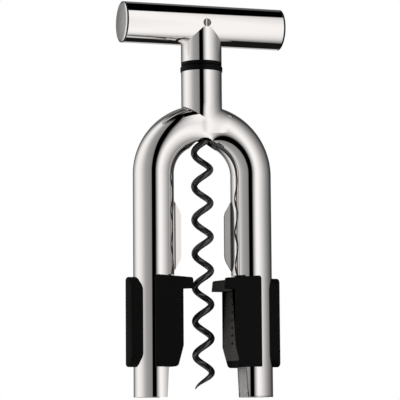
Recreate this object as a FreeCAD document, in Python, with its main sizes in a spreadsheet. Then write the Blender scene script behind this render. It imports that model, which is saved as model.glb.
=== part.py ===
import FreeCAD, Part
import math
import os
import Sketcher

# Corkscrew with a bent tube frame that stands over the bottle neck.
# The frame's two legs are side by side along X, the bottle's axis is Z, and the origin is on the
# standing surface between the legs. A turned worm hangs from a cross handle and slides through the
# neck bushing. A jaw on each leg is pushed inwards through a window in the tube.

doc = FreeCAD.newDocument("counter_mount_corkscrew")
sizes = doc.addObject("Spreadsheet::Sheet", "sizes")

# Driving sizes in millimetres, angles in degrees
driving = {
    # Bent tube frame
    "tube_diameter": 18.0,
    "tube_wall": 1.5,
    "leg_gap": 26.0,
    "leg_height": 96.9,
    "worm_hole_clearance": 1.525,
    "foot_cut_depth": 5.1,
    "leg_cut_depth": 4.3,
    "foot_cut_height": 14.0,
    "neck_rise": 14.6,
    # Plastic bushing in the neck and the washer that it carries
    "flange_overhang": 0.3,
    "flange_thickness": 2.5,
    "flange_edge_radius": 0.5,
    "bushing_depth": 14.0,
    "bushing_wall": 2.25,
    "washer_inset": 0.05,
    "washer_thickness": 1.8,
    "washer_groove_height": 0.4,
    "washer_groove_depth": 0.6,
    "washer_spigot_height": 1.5,
    # Cross handle
    "stub_rise": 16.6,
    "bar_oversize": 0.05,
    "handle_length": 73.1,
    "handle_turn": 3.3,
    "cap_rim_thickness": 0.8,
    "cap_dome_height": 0.8,
    "cap_edge_radius": 0.6,
    "cap_spigot_length": 4.0,
    "hub_flange_height": 3.0,
    "hub_stem_diameter": 9.0,
    "hub_stem_gap": 2.0,
    "screw_head_diameter": 3.4,
    "screw_head_height": 1.6,
    "screw_shank_diameter": 2.8,
    "screw_tip_past_axis": 3.6,
    "screw_slot_width": 0.7,
    "screw_slot_depth": 0.7,
    # Worm
    "worm_clearance": 0.225,
    "worm_wire": 2.85,
    "worm_pitch": 14.8,
    "worm_tip_height": 3.6,
    "worm_tip_diameter": 0.5,
    "worm_tip_angle": 173.5,
    "worm_shank_length": 14.1,
    "worm_shank_overlap": 2.5,
    "worm_stud_diameter": 5.0,
    "worm_stud_cover": 1.3,
    # Fins that hold the drawn cork
    "fin_thickness": 1.5,
    "fin_reach": 3.15,
    "fin_top_gap": 10.1,
    "fin_height": 33.4,
    "fin_slope_height": 6.6,
    "fin_corner_radius": 4.0,
    "fin_edge_bevel": 0.35,
    # Jaws on the legs
    "jaw_bottom": 13.0,
    "jaw_height": 39.7,
    "jaw_travel": 2.0,
    "plate_overlap": 1.7,
    "plate_thickness": 0.95,
    "lip_distance": 11.6,
    "lip_overhang": 2.2,
    "lip_taper_height": 9.0,
    "lip_taper_inset": 2.4,
    "grip_radius": 14.2,
    "collar_tip_distance": 6.75,
    "collar_tip_slant": 0.5,
    "collar_overhang": 2.0,
    "collar_thickness": 4.9,
    "collar_top_fall": 1.3,
    "cork_passage_radius": 11.2,
    "plate_corner_radius": 1.3,
    "lip_corner_radius": 1.6,
    "collar_corner_radius": 0.7,
    "core_side_gap": 2.3,
    "core_end_wall": 1.0,
    "core_end_gap": 0.5,
    # Soft liner in each jaw
    "liner_thickness": 0.8,
    "liner_half_width": 8.8,
    "liner_foot_gap": 3.0,
    "liner_dimple_diameter": 1.1,
    "liner_dimple_distance": 5.6,
    "liner_dimple_pitch": 3.43,
    "liner_dimple_rise": 2.7,
    "liner_groove_half_width": 1.3,
    "liner_groove_depth": 0.4,
    "liner_scallop_diameter": 2.2,
    # Press pads outside the legs
    "pad_inset": 2.8,
    "pad_height": 38.9,
    "pad_rise": 3.3,
    "pad_edge_radius": 1.0,
    # Pins, screws and springs of the jaws
    "pin_diameter": 3.0,
    "pin_inset": 8.0,
    "pad_screw_inset": 15.6,
    "pad_screw_head_diameter": 4.0,
    "pad_screw_head_height": 1.5,
    "pad_screw_diameter": 2.0,
    "pad_screw_depth": 4.2,
    "spring_diameter": 4.0,
    "spring_wire": 0.5,
    "spring_pocket_depth": 3.2,
    # Clearances and the overrun of cuts
    "fit_clearance": 0.05,
    "slide_clearance": 0.15,
    "window_clearance": 0.25,
    "overrun": 1.0,
}

for row, (alias, value) in enumerate(driving.items(), start=1):
    sizes.set(f"A{row}", alias)
    sizes.set(f"B{row}", str(value))
    sizes.setAlias(f"B{row}", alias)
doc.recompute()

# Counts
DIMPLES_IN_ROW = 7
ARC_PAIRS_PER_TURN = 4
GAP_SAMPLES = 360

# Shares of a span
HALF_TURN_SHARE = 0.5


def cell(alias):
    """Value of one driving size."""
    return float(getattr(sizes, alias))


def bound(formula):
    """Formula with each driving size read from the sheet."""
    words = []
    word = ""
    for letter in formula + " ":
        if letter.isalnum() or letter == "_":
            word += letter
            continue
        words.append(f"sizes.{word}" if word in driving else word)
        words.append(letter)
        word = ""
    return "".join(words).strip()


def number(formula):
    """Number that a formula of driving sizes comes to."""
    return float(sizes.evalExpression(bound(formula)))


# Places that follow from the driving sizes
tube_radius = "(tube_diameter / 2)"
bore_radius = "(tube_diameter / 2 - tube_wall)"
bar_radius = "(tube_diameter / 2 + bar_oversize)"
bar_bore_radius = f"({bar_radius} - tube_wall)"
bushing_bore = f"({bore_radius} - fit_clearance - bushing_wall)"
worm_radius = f"({bushing_bore} - worm_clearance)"
leg_x = f"(leg_gap / 2 + {tube_radius})"
crown_height = f"(leg_height + {leg_x} + {tube_radius})"
neck_top = f"({crown_height} + neck_rise)"
flange_top = f"({neck_top} + flange_thickness)"
washer_top = f"({flange_top} + washer_thickness)"
handle_height = f"({washer_top} + stub_rise)"
shank_top = f"({washer_top} + washer_spigot_height + 2 * fit_clearance)"
jaw_top = "(jaw_bottom + jaw_height)"
collar_bottom = f"({jaw_top} - collar_top_fall - collar_thickness)"
core_bottom = "(jaw_bottom + core_end_gap)"
core_top = f"({jaw_top} - collar_top_fall)"
core_end_x = f"({leg_x} + pin_diameter / 2 + jaw_travel + core_end_wall)"
core_half_width = f"({bore_radius} - core_side_gap)"
pad_half_width = f"({tube_radius} - pad_inset)"
plate_half_depth = f"({tube_radius} + plate_thickness)"
lip_half_depth = f"({tube_radius} + lip_overhang)"
collar_half_depth = f"({tube_radius} + collar_overhang)"
cut_face_x = "(leg_gap / 2 + leg_cut_depth)"
recess_radius = "(grip_radius + liner_thickness)"
recess_floor_x = f"(jaw_travel + {recess_radius})"
liner_bottom = "(jaw_bottom + liner_foot_gap)"
pad_top = "(jaw_bottom + pad_height)"
spring_seat_x = f"({core_end_x} + spring_pocket_depth)"
pin_heights = ["(jaw_bottom + pin_inset)", f"({jaw_top} - pin_inset)"]
pad_screw_heights = ["(jaw_bottom + pad_screw_inset)", f"({jaw_top} - pad_screw_inset)"]

# Directions along which primitives are laid
ALONG_X = FreeCAD.Rotation(FreeCAD.Vector(0, 1, 0), 90)
ALONG_Y = FreeCAD.Rotation(FreeCAD.Vector(1, 0, 0), -90)
UPRIGHT = FreeCAD.Rotation()
HALF_TURN = FreeCAD.Rotation(FreeCAD.Vector(0, 0, 1), 180)
SKETCH_XZ = FreeCAD.Rotation(FreeCAD.Vector(1, 0, 0), 90)


def add(kind, name, base=("0", "0", "0"), rotation=UPRIGHT, **formulas):
    """Document object whose sizes and place are bound to the sheet."""
    item = doc.addObject(kind, name)
    item.Placement = FreeCAD.Placement(FreeCAD.Vector(), rotation)
    for prop, formula in formulas.items():
        item.setExpression(prop, bound(formula))
    for axis, formula in zip("xyz", base):
        if formula != "0":
            item.setExpression(f"Placement.Base.{axis}", bound(formula))
    return item


def cylinder(name, radius, height, base=("0", "0", "0"), rotation=UPRIGHT):
    return add("Part::Cylinder", name, base, rotation, Radius=radius, Height=height)


def box(name, low, high):
    """Box between two corners."""
    spans = [f"({b}) - ({a})" for a, b in zip(low, high)]
    return add("Part::Box", name, low, Length=spans[0], Width=spans[1], Height=spans[2])


def fuse(name, parts):
    item = doc.addObject("Part::MultiFuse", name)
    item.Shapes = parts
    return item


def cut(name, base, *tools):
    item = doc.addObject("Part::Cut", name)
    item.Base = base
    item.Tool = tools[0] if len(tools) == 1 else fuse(name + "_tools", list(tools))
    return item


def common(name, first, second):
    item = doc.addObject("Part::MultiCommon", name)
    item.Shapes = [first, second]
    return item


def outline(sketch, points):
    """Closed outline of lines whose corners are bound to the sheet."""
    doc.recompute()
    places = [FreeCAD.Vector(number(u), number(v), 0) for u, v in points]
    count = len(places)
    for i in range(count):
        sketch.addGeometry(Part.LineSegment(places[i], places[(i + 1) % count]), False)
    for i in range(count):
        sketch.addConstraint(Sketcher.Constraint("Coincident", i, 2, (i + 1) % count, 1))
    for i, (u, v) in enumerate(points):
        for kind, formula, value in (("DistanceX", u, places[i].x), ("DistanceY", v, places[i].y)):
            index = sketch.addConstraint(Sketcher.Constraint(kind, -1, 1, i, 1, value))
            if formula != "0":
                sketch.setExpression(f"Constraints[{index}]", bound(formula))


def prism(name, points, length, upright=False):
    """Outline in the XZ plane, or in XY where it is upright, extruded to both sides or upwards."""
    sketch = doc.addObject("Sketcher::SketchObject", name + "_sketch")
    sketch.Placement = FreeCAD.Placement(FreeCAD.Vector(), UPRIGHT if upright else SKETCH_XZ)
    outline(sketch, points)
    item = doc.addObject("Part::Extrusion", name)
    item.Base = sketch
    item.DirMode = "Normal"
    item.Solid = True
    item.Symmetric = not upright
    item.setExpression("LengthFwd", bound(length))
    return item


def turned(name, points, axis="V_Axis"):
    """Body revolved from an outline of radius and height, or of length and radius about X."""
    body = doc.addObject("PartDesign::Body", name)
    plane = next(f for f in body.Origin.OriginFeatures if f.Role == "XZ_Plane")
    sketch = body.newObject("Sketcher::SketchObject", name + "_section")
    sketch.AttachmentSupport = [(plane, "")]
    sketch.MapMode = "FlatFace"
    outline(sketch, points)
    spin = body.newObject("PartDesign::Revolution", name + "_turning")
    spin.Profile = sketch
    spin.ReferenceAxis = (sketch, [axis])
    spin.Angle = 360.0
    doc.recompute()
    return body


def rounded(name, base, radius, test):
    """Fillet on the edges that pass the test."""
    doc.recompute()
    item = doc.addObject("Part::Fillet", name)
    item.Base = base
    chosen = [i for i, edge in enumerate(base.Shape.Edges, start=1) if test(edge)]
    item.Edges = [(i, cell(radius), cell(radius)) for i in chosen]
    return item


def runs_along_y_at(x, z):
    """Test for an edge that runs along Y through one place of the XZ plane."""
    place = (number(x), number(z))
    near = cell("fit_clearance")

    def test(edge):
        ends = [v.Point for v in edge.Vertexes]
        if len(ends) != 2:
            return False
        return all(abs(p.x - place[0]) < near and abs(p.z - place[1]) < near for p in ends)
    return test


def finish(item, label, turn=None):
    """Name of the sub-part and its turn about the bottle's axis."""
    item.Label = label
    if turn is not None:
        spin = FreeCAD.Rotation(FreeCAD.Vector(0, 0, 1), turn)
        item.Placement = FreeCAD.Placement(FreeCAD.Vector(), spin)
    sub_parts[label] = item
    return item


sub_parts = {}


# Bent tube frame
def bent_tube(name, radius, start):
    """Two straight legs and the half ring that joins them."""
    height = f"leg_height - ({start})"
    legs = [cylinder(f"{name}_{side}_leg", radius, height, (f"{sign}{leg_x}", "0", start))
            for side, sign in (("left", "-"), ("right", ""))]
    bend = add("Part::Torus", name + "_bend", ("0", "0", "leg_height"), SKETCH_XZ,
               Radius1=leg_x, Radius2=radius)
    bend.Angle3 = 180.0
    return fuse(name, legs + [bend])


def obround(name, half_width, bottom, top, start, end):
    """Slot shape with round ends, laid along X."""
    low = (start, f"-({half_width})", f"({bottom}) + ({half_width})")
    high = (end, half_width, f"({top}) - ({half_width})")
    span = f"({end}) - ({start})"
    middle = box(name + "_middle", low, high)
    ends = [cylinder(f"{name}_{place}", half_width, span, (start, "0", height), ALONG_X)
            for place, height in (("low_end", low[2]), ("high_end", high[2]))]
    return fuse(name, [middle] + ends)


def leg_openings(side):
    """Window for the press pad, the cut-away inner side and the pin holes of one leg."""
    window = obround(f"{side}_window", f"{pad_half_width} + window_clearance",
                     "jaw_bottom - window_clearance", f"{pad_top} + window_clearance",
                     f"{leg_x} + jaw_travel", f"{leg_x} + {tube_radius} + overrun")
    inner_side = prism(f"{side}_cut_away", [
        ("leg_gap / 2 + foot_cut_depth", "-overrun"),
        ("leg_gap / 2 + foot_cut_depth", "0"),
        (cut_face_x, "foot_cut_height"),
        (cut_face_x, f"{jaw_top} + window_clearance"),
        ("leg_gap / 2 - overrun", f"{jaw_top} + window_clearance"),
        ("leg_gap / 2 - overrun", "-overrun"),
    ], "tube_diameter + 2 * overrun")
    holes = [cylinder(f"{side}_pin_hole_{i}", "pin_diameter / 2 + fit_clearance",
                      "tube_diameter + 2 * overrun", (leg_x, f"-{tube_radius} - overrun", height),
                      ALONG_Y)
             for i, height in enumerate(pin_heights, start=1)]
    group = fuse(f"{side}_leg_openings", [window, inner_side] + holes)
    if side == "left":
        group.Placement = FreeCAD.Placement(FreeCAD.Vector(), HALF_TURN)
    return group


def frame_arch():
    outside = bent_tube("arch_outside", tube_radius, "0")
    inside = bent_tube("arch_inside", bore_radius, "-overrun")
    hole = cylinder("worm_hole", f"{worm_radius} + worm_hole_clearance", crown_height,
                    ("0", "0", "leg_height"))
    arch = cut("arch", outside, inside, hole, leg_openings("left"), leg_openings("right"))
    return finish(arch, "frame_arch")


def frame_neck():
    """Tube with a saddle end on the crown of the arch."""
    start = f"leg_height + {leg_x}"
    height = f"{neck_top} - ({start})"
    outside = cylinder("neck_outside", tube_radius, height, ("0", "0", start))
    bore = cylinder("neck_bore", bore_radius, f"{height} + 2 * overrun",
                    ("0", "0", f"{start} - overrun"))
    saddle = bent_tube("neck_saddle", tube_radius, "0")
    return finish(cut("neck", outside, bore, saddle), "frame_neck")


def cork_fin(label, turn):
    """Upright blade on the inner side of a leg that keeps the drawn cork from turning."""
    root_x = "(leg_gap / 2 + fin_thickness / 2)"
    edge_x = "(leg_gap / 2 - fin_reach)"
    top = "(leg_height - fin_top_gap)"
    foot = f"({top} - fin_height)"
    blade = prism(label + "_blade", [
        (root_x, foot),
        (edge_x, f"{foot} + fin_slope_height"),
        (edge_x, f"{top} - fin_slope_height"),
        (root_x, top),
    ], "fin_thickness")
    for i, height in enumerate((f"{foot} + fin_slope_height", f"{top} - fin_slope_height")):
        blade = rounded(f"{label}_corner_{i}", blade, "fin_corner_radius",
                        runs_along_y_at(edge_x, height))
    doc.recompute()
    bevel = doc.addObject("Part::Chamfer", label + "_bevel")
    bevel.Base = blade
    inner_edges = []
    for i, edge in enumerate(blade.Shape.Edges, start=1):
        middle = edge.CenterOfMass
        upright = edge.BoundBox.ZLength > cell("fin_thickness")
        if upright and abs(middle.x - number(edge_x)) < cell("fit_clearance"):
            inner_edges.append(i)
    bevel.Edges = [(i, cell("fin_edge_bevel"), cell("fin_edge_bevel")) for i in inner_edges]
    leg = cylinder(label + "_leg", tube_radius, "leg_height", (leg_x, "0", "0"))
    return finish(cut(label + "_seated", bevel, leg), label, turn)


def guide_pins():
    """Four cross pins in the legs on which the jaws slide."""
    pins = []
    for side, sign in (("left", "-"), ("right", "")):
        for i, height in enumerate(pin_heights, start=1):
            place = (f"{sign}{leg_x}", f"-{tube_radius} + window_clearance / 2", height)
            pins.append(cylinder(f"{side}_pin_{i}", "pin_diameter / 2",
                                 "tube_diameter - window_clearance", place, ALONG_Y))
    return finish(fuse("pins", pins), "guide_pins")


def neck_bushing():
    fit = f"({bore_radius} - fit_clearance)"
    rim = f"({tube_radius} + flange_overhang)"
    body = turned("bushing", [
        (bushing_bore, f"{neck_top} - bushing_depth"),
        (fit, f"{neck_top} - bushing_depth"),
        (fit, neck_top),
        (rim, neck_top),
        (rim, flange_top),
        (bushing_bore, flange_top),
    ])

    def on_rim(edge):
        extent = edge.BoundBox
        return extent.ZLength < cell("fit_clearance") and extent.XLength > cell("tube_diameter")

    return finish(rounded("bushing_rounded", body, "flange_edge_radius", on_rim), "neck_bushing")


def glide_washer():
    """Washer on the bushing's flange, held in the handle stub by its spigot."""
    fit = f"({bore_radius} - fit_clearance)"
    rim = f"({tube_radius} - washer_inset)"
    groove = f"({rim} - washer_groove_depth)"
    body = turned("washer", [
        (bushing_bore, flange_top),
        (groove, flange_top),
        (groove, f"{flange_top} + washer_groove_height"),
        (rim, f"{flange_top} + washer_groove_height"),
        (rim, washer_top),
        (fit, washer_top),
        (fit, f"{washer_top} + washer_spigot_height"),
        (bushing_bore, f"{washer_top} + washer_spigot_height"),
    ])
    return finish(body, "glide_washer")


# Handle and worm, which turn together
def handle_outside(name, radius, length):
    return cylinder(name, radius, length, (f"-({length}) / 2", "0", handle_height), ALONG_X)


def screw_hole(name):
    """Hole for the screw's head in the front of the bar and of the stub's saddle."""
    return cylinder(name, "screw_head_diameter / 2 + fit_clearance", bar_radius,
                    ("0", f"-{bar_radius} - overrun", handle_height), ALONG_Y)


def handle_bar():
    length = "(handle_length - 2 * cap_rim_thickness)"
    outside = handle_outside("bar_outside", bar_radius, length)
    bore = handle_outside("bar_bore", bar_bore_radius, f"({length} + 2 * overrun)")
    hub_hole = cylinder("bar_hub_hole", "hub_stem_diameter / 2 + slide_clearance", bar_radius,
                        ("0", "0", f"{handle_height} - {bar_radius} - overrun"))
    bar = cut("bar", outside, bore, hub_hole, screw_hole("bar_screw_hole"))
    return finish(bar, "handle_bar", cell("handle_turn"))


def handle_stub():
    """Short tube under the bar with a saddle end."""
    outside = cylinder("stub_outside", tube_radius, "stub_rise", ("0", "0", washer_top))
    bore = cylinder("stub_bore", bore_radius, "stub_rise + 2 * overrun",
                    ("0", "0", f"{washer_top} - overrun"))
    saddle = handle_outside("stub_saddle", bar_radius, "handle_length")
    stub = cut("stub", outside, bore, saddle, screw_hole("stub_screw_hole"))
    return finish(stub, "handle_stub", cell("handle_turn"))


def end_cap(label, turn):
    """Plug for one end of the bar with a rim and a shallow dome."""
    seat = "(handle_length / 2 - cap_rim_thickness)"
    fit = f"({bar_bore_radius} - fit_clearance)"
    plug = turned(label + "_plug", [
        (f"{seat} - cap_spigot_length", "0"),
        (f"{seat} - cap_spigot_length", fit),
        (seat, fit),
        (seat, bar_radius),
        ("handle_length / 2", bar_radius),
        ("handle_length / 2 + cap_dome_height", bar_radius),
        ("handle_length / 2 + cap_dome_height", "0"),
    ], "H_Axis")
    dome_radius = f"(({bar_radius} ^ 2 + cap_dome_height ^ 2) / (2 * cap_dome_height))"
    ball = add("Part::Sphere", label + "_dome",
               (f"handle_length / 2 + cap_dome_height - {dome_radius}", "0", "0"),
               Radius=dome_radius)
    cap = common(label + "_domed", plug, ball)
    rim_x = number("handle_length / 2")

    def on_rim(edge):
        extent = edge.BoundBox
        return abs(extent.Center.x - rim_x) < cell("fit_clearance") and extent.XLength < cell("overrun")

    cap = rounded(label + "_rounded", cap, "cap_edge_radius", on_rim)
    spin = FreeCAD.Rotation(FreeCAD.Vector(0, 0, 1), turn)
    item = finish(cap, label, turn)
    item.Placement = FreeCAD.Placement(FreeCAD.Vector(0, 0, number(handle_height)), spin)
    item.setExpression("Placement.Base.z", bound(handle_height))
    return item


def spindle_hub():
    """Plug in the stub that holds the worm's stud, with a stem up into the bar."""
    fit = f"({bore_radius} - fit_clearance)"
    bore = "(worm_stud_diameter / 2 + fit_clearance)"
    stem = "(hub_stem_diameter / 2)"
    stem_top = f"({handle_height} + {bar_bore_radius} - hub_stem_gap)"
    body = turned("hub_turned", [
        (bore, shank_top),
        (fit, shank_top),
        (fit, f"{shank_top} + hub_flange_height"),
        (stem, f"{shank_top} + hub_flange_height"),
        (stem, stem_top),
        (bore, stem_top),
    ])
    cross_hole = cylinder("hub_cross_hole", "screw_shank_diameter / 2 + fit_clearance",
                          "hub_stem_diameter + 2 * overrun",
                          ("0", "-hub_stem_diameter / 2 - overrun", handle_height), ALONG_Y)
    return finish(cut("hub", body, cross_hole), "spindle_hub", cell("handle_turn"))


def handle_screw():
    """Slotted screw through the bar, the hub and the worm's stud."""
    head = "(screw_head_diameter / 2)"
    shank = "(screw_shank_diameter / 2)"
    face = f"({bar_radius} - fit_clearance)"
    under_head = f"({face} - screw_head_height)"
    body = turned("screw_body", [
        ("0", f"-{face}"),
        (head, f"-{face}"),
        (head, f"-{under_head}"),
        (shank, f"-{under_head}"),
        (shank, "screw_tip_past_axis"),
        ("0", "screw_tip_past_axis"),
    ])
    slot = box("screw_slot", (f"-{head} - overrun", "-screw_slot_width / 2", f"-{face} - overrun"),
               (f"{head} + overrun", "screw_slot_width / 2", f"-{face} + screw_slot_depth"))
    item = finish(cut("screw_slotted", body, slot), "handle_screw")
    upright_slot = FreeCAD.Rotation(FreeCAD.Vector(0, 0, 1), 90)
    spin = FreeCAD.Rotation(FreeCAD.Vector(0, 0, 1), cell("handle_turn"))
    item.Placement = FreeCAD.Placement(FreeCAD.Vector(), spin * ALONG_Y * upright_slot)
    item.setExpression("Placement.Base.z", bound(handle_height))
    return item


def coil_point(radius, pitch, start_angle, start_height, turns):
    angle = start_angle + 2 * math.pi * turns
    place = FreeCAD.Vector(radius * math.cos(angle), radius * math.sin(angle),
                           start_height + pitch * turns)
    tangent = FreeCAD.Vector(-radius * math.sin(angle), radius * math.cos(angle),
                             pitch / (2 * math.pi))
    return place, tangent.normalize()


def arc_from(start, corner, end):
    """Arc that touches both legs of a corner with equal legs."""
    chord = end - start
    middle = (start + end) * 0.5
    rise = (corner - middle).Length
    half = chord.Length / 2
    hypotenuse = math.hypot(rise, half)
    sagitta = half * (hypotenuse - half) / rise
    return Part.Arc(start, middle + (corner - middle).normalize() * sagitta, end)


def arc_pair(first, second):
    """Two arcs that meet smoothly between two places with given directions."""
    (start, leave), (end, arrive) = first, second
    span = end - start
    both = leave + arrive
    spread = 2 * (1 - leave.dot(arrive))
    along = span.dot(both)
    leg = (math.sqrt(along ** 2 + spread * span.dot(span)) - along) / spread
    corner_a = start + leave * leg
    corner_b = end - arrive * leg
    joint = (corner_a + corner_b) * 0.5
    return [arc_from(start, corner_a, joint), arc_from(joint, corner_b, end)]


def coil_wire(radius, pitch, start_angle, start_height, first_turn, last_turn):
    """Smooth wire of arcs along a right-handed helix."""
    steps = max(1, round((last_turn - first_turn) * ARC_PAIRS_PER_TURN))
    places = [coil_point(radius, pitch, start_angle, start_height,
                         first_turn + (last_turn - first_turn) * i / steps)
              for i in range(steps + 1)]
    arcs = []
    for first, second in zip(places, places[1:]):
        arcs += arc_pair(first, second)
    return Part.Wire([arc.toShape() for arc in arcs])


def round_section(place, tangent, radius):
    return Part.Wire([Part.makeCircle(radius, place, tangent)])


def coil_solid(radius, pitch, start_angle, start_height, first_turn, last_turn, sections):
    """Pipe of round section along a helix, with one section at each given turn."""
    shell = Part.BRepOffsetAPI.MakePipeShell(
        coil_wire(radius, pitch, start_angle, start_height, first_turn, last_turn))
    for turns, section_radius in sections:
        place, tangent = coil_point(radius, pitch, start_angle, start_height, turns)
        shell.add(round_section(place, tangent, section_radius))
    shell.build()
    shell.makeSolid()
    return shell.shape()


def least_coil_gap(radius, pitch, wire):
    """Smallest free distance between neighbouring turns, measured on points."""
    own = coil_point(radius, pitch, 0, 0, 0)[0]
    nearby = [coil_point(radius, pitch, 0, 0, HALF_TURN_SHARE + i / GAP_SAMPLES)[0]
              for i in range(GAP_SAMPLES + 1)]
    return min((place - own).Length for place in nearby) - wire


def worm():
    """Pointed coil, round shank and stud in one piece."""
    wire = cell("worm_wire")
    outer = number(worm_radius)
    radius = outer - wire / 2
    pitch = cell("worm_pitch")
    angle = math.radians(cell("worm_tip_angle"))
    start = cell("worm_tip_height")
    top = number(shank_top)
    shank_start = top - cell("worm_shank_length")
    turns = (shank_start + cell("worm_shank_overlap") - start) / pitch
    tip = coil_solid(radius, pitch, angle, start, 0, HALF_TURN_SHARE,
                     [(0, cell("worm_tip_diameter") / 2), (HALF_TURN_SHARE, wire / 2)])
    coil = coil_solid(radius, pitch, angle, start, HALF_TURN_SHARE, turns,
                      [(HALF_TURN_SHARE, wire / 2)])
    shank = Part.makeCylinder(outer, top - shank_start, FreeCAD.Vector(0, 0, shank_start))
    stud_top = number(f"{handle_height} + screw_shank_diameter / 2 + worm_stud_cover")
    stud = Part.makeCylinder(cell("worm_stud_diameter") / 2, stud_top - top,
                             FreeCAD.Vector(0, 0, top))
    axis = FreeCAD.Vector(0, cell("worm_stud_diameter"), number(handle_height))
    turn = FreeCAD.Rotation(FreeCAD.Vector(0, 0, 1), cell("handle_turn"))
    cross_hole = Part.makeCylinder(number("screw_shank_diameter / 2 + fit_clearance"),
                                   2 * cell("worm_stud_diameter"), turn.multVec(axis),
                                   turn.multVec(FreeCAD.Vector(0, -1, 0)))
    shape = tip.fuse([coil, shank, stud]).cut(cross_hole)
    item = doc.addObject("Part::Feature", "worm_turned")
    item.Shape = shape
    print("worm: least gap between turns", round(least_coil_gap(radius, pitch, wire), 2), "mm")
    return finish(item, "worm", 0)


# Jaws, built on the right leg and turned half round for the left one
def tube_space():
    """Room that a jaw leaves for its leg, straight along the way that it slides."""
    radius = f"({tube_radius} + slide_clearance)"
    leg = cylinder("leg_space", radius, "leg_height", (leg_x, "0", "0"))
    past = box("leg_space_past_axis", (leg_x, f"-{radius}", "0"),
               (f"{leg_x} + tube_diameter", radius, "leg_height"))
    kept = box("leg_space_limit", (f"{cut_face_x} - window_clearance", f"-{radius}", "0"),
               (f"{leg_x} + tube_diameter", radius, "leg_height"))
    return common("leg_room", fuse("leg_space_whole", [leg, past]), kept)


def jaw_block():
    """Outer form of a jaw: its side outline crossed with its plan."""
    outer = f"({leg_x} + plate_overlap)"
    side = prism("jaw_side", [
        (outer, "jaw_bottom"),
        (outer, jaw_top),
        ("collar_tip_distance + collar_tip_slant", f"{jaw_top} - collar_top_fall"),
        ("collar_tip_distance", collar_bottom),
        ("lip_distance", collar_bottom),
        ("lip_distance", "jaw_bottom + lip_taper_height"),
        ("lip_distance + lip_taper_inset", "jaw_bottom"),
    ], f"2 * ({lip_half_depth} + overrun)")
    side = rounded("jaw_plate_corner", side, "plate_corner_radius", runs_along_y_at(outer, jaw_top))
    side = rounded("jaw_lip_corner", side, "lip_corner_radius",
                   runs_along_y_at("lip_distance + lip_taper_inset", "jaw_bottom"))
    side = rounded("jaw_collar_corner", side, "collar_corner_radius",
                   runs_along_y_at("collar_tip_distance + collar_tip_slant",
                                   f"{jaw_top} - collar_top_fall"))
    plan = prism("jaw_plan", [
        (outer, f"-{plate_half_depth}"),
        (outer, plate_half_depth),
        ("lip_distance", lip_half_depth),
        ("collar_tip_distance", collar_half_depth),
        ("collar_tip_distance", f"-{collar_half_depth}"),
        ("lip_distance", f"-{lip_half_depth}"),
    ], f"{jaw_top} + overrun", upright=True)
    return common("jaw_form", side, plan)


def along_x(name, radius, start, end, height, offset="0"):
    """Round hole or rod along X."""
    return cylinder(name, radius, f"({end}) - ({start})", (start, offset, height), ALONG_X)


def jaw_core():
    """Web of the jaw that reaches through the cut-away side into the tube."""
    start = f"{cut_face_x} - window_clearance - overrun"
    return box("jaw_core", (start, f"-{core_half_width}", core_bottom),
               (core_end_x, core_half_width, core_top))


def liner_room(name, grow):
    """Recess for the soft liner, or the liner's own outline."""
    cylinder_part = cylinder(name + "_round", recess_radius, f"{collar_bottom} - {liner_bottom}",
                             ("jaw_travel", "0", liner_bottom))
    limit = box(name + "_limit",
                ("lip_distance", f"-liner_half_width - {grow}", f"{liner_bottom} - {grow}"),
                (f"{recess_floor_x} + overrun", f"liner_half_width + {grow}",
                 f"{collar_bottom} + {grow}"))
    return common(name, cylinder_part, limit)


def jaw_shape():
    body = cut("jaw_on_leg", jaw_block(), tube_space())
    body = fuse("jaw_with_core", [body, jaw_core()])
    pocket = cylinder("jaw_pocket", "grip_radius", collar_bottom, ("jaw_travel", "0", "0"))
    passage = cylinder("jaw_cork_passage", "cork_passage_radius", jaw_top,
                       ("jaw_travel", "0", "overrun"))
    cuts = [pocket, passage, liner_room("jaw_recess", "0")]
    slot_radius = "(pin_diameter / 2 + slide_clearance)"
    for i, height in enumerate(pin_heights, start=1):
        ends = [cylinder(f"jaw_pin_slot_{i}_{name}", slot_radius, "tube_diameter",
                         (place, f"-{tube_radius}", height), ALONG_Y)
                for name, place in (("inner", leg_x), ("outer", f"{leg_x} + jaw_travel"))]
        middle = box(f"jaw_pin_slot_{i}_middle",
                     (leg_x, f"-{tube_radius}", f"{height} - {slot_radius}"),
                     (f"{leg_x} + jaw_travel", tube_radius, f"{height} + {slot_radius}"))
        bore = along_x(f"jaw_spring_bore_{i}", "spring_diameter / 2 + window_clearance",
                       f"{leg_x} + jaw_travel", f"{core_end_x} + overrun", height)
        cuts += ends + [middle, bore]
    for i, height in enumerate(pad_screw_heights, start=1):
        seat = f"({recess_floor_x} + pad_screw_head_height)"
        cuts.append(along_x(f"jaw_screw_seat_{i}", "pad_screw_head_diameter / 2 + slide_clearance",
                            f"{recess_floor_x} - overrun", seat, height))
        cuts.append(along_x(f"jaw_screw_hole_{i}", "pad_screw_diameter / 2 + fit_clearance",
                            f"{seat} - overrun", f"{core_end_x} + overrun", height))
    return cut("jaw_shape", body, *cuts)


def dimple_heights():
    """Heights of the row of dimples, which sits above the liner's middle."""
    middle = f"({liner_bottom} + {collar_bottom}) / 2 + liner_dimple_rise"
    half = (DIMPLES_IN_ROW - 1) / 2
    return [f"{middle} + ({i - half}) * liner_dimple_pitch" for i in range(DIMPLES_IN_ROW)]


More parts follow.
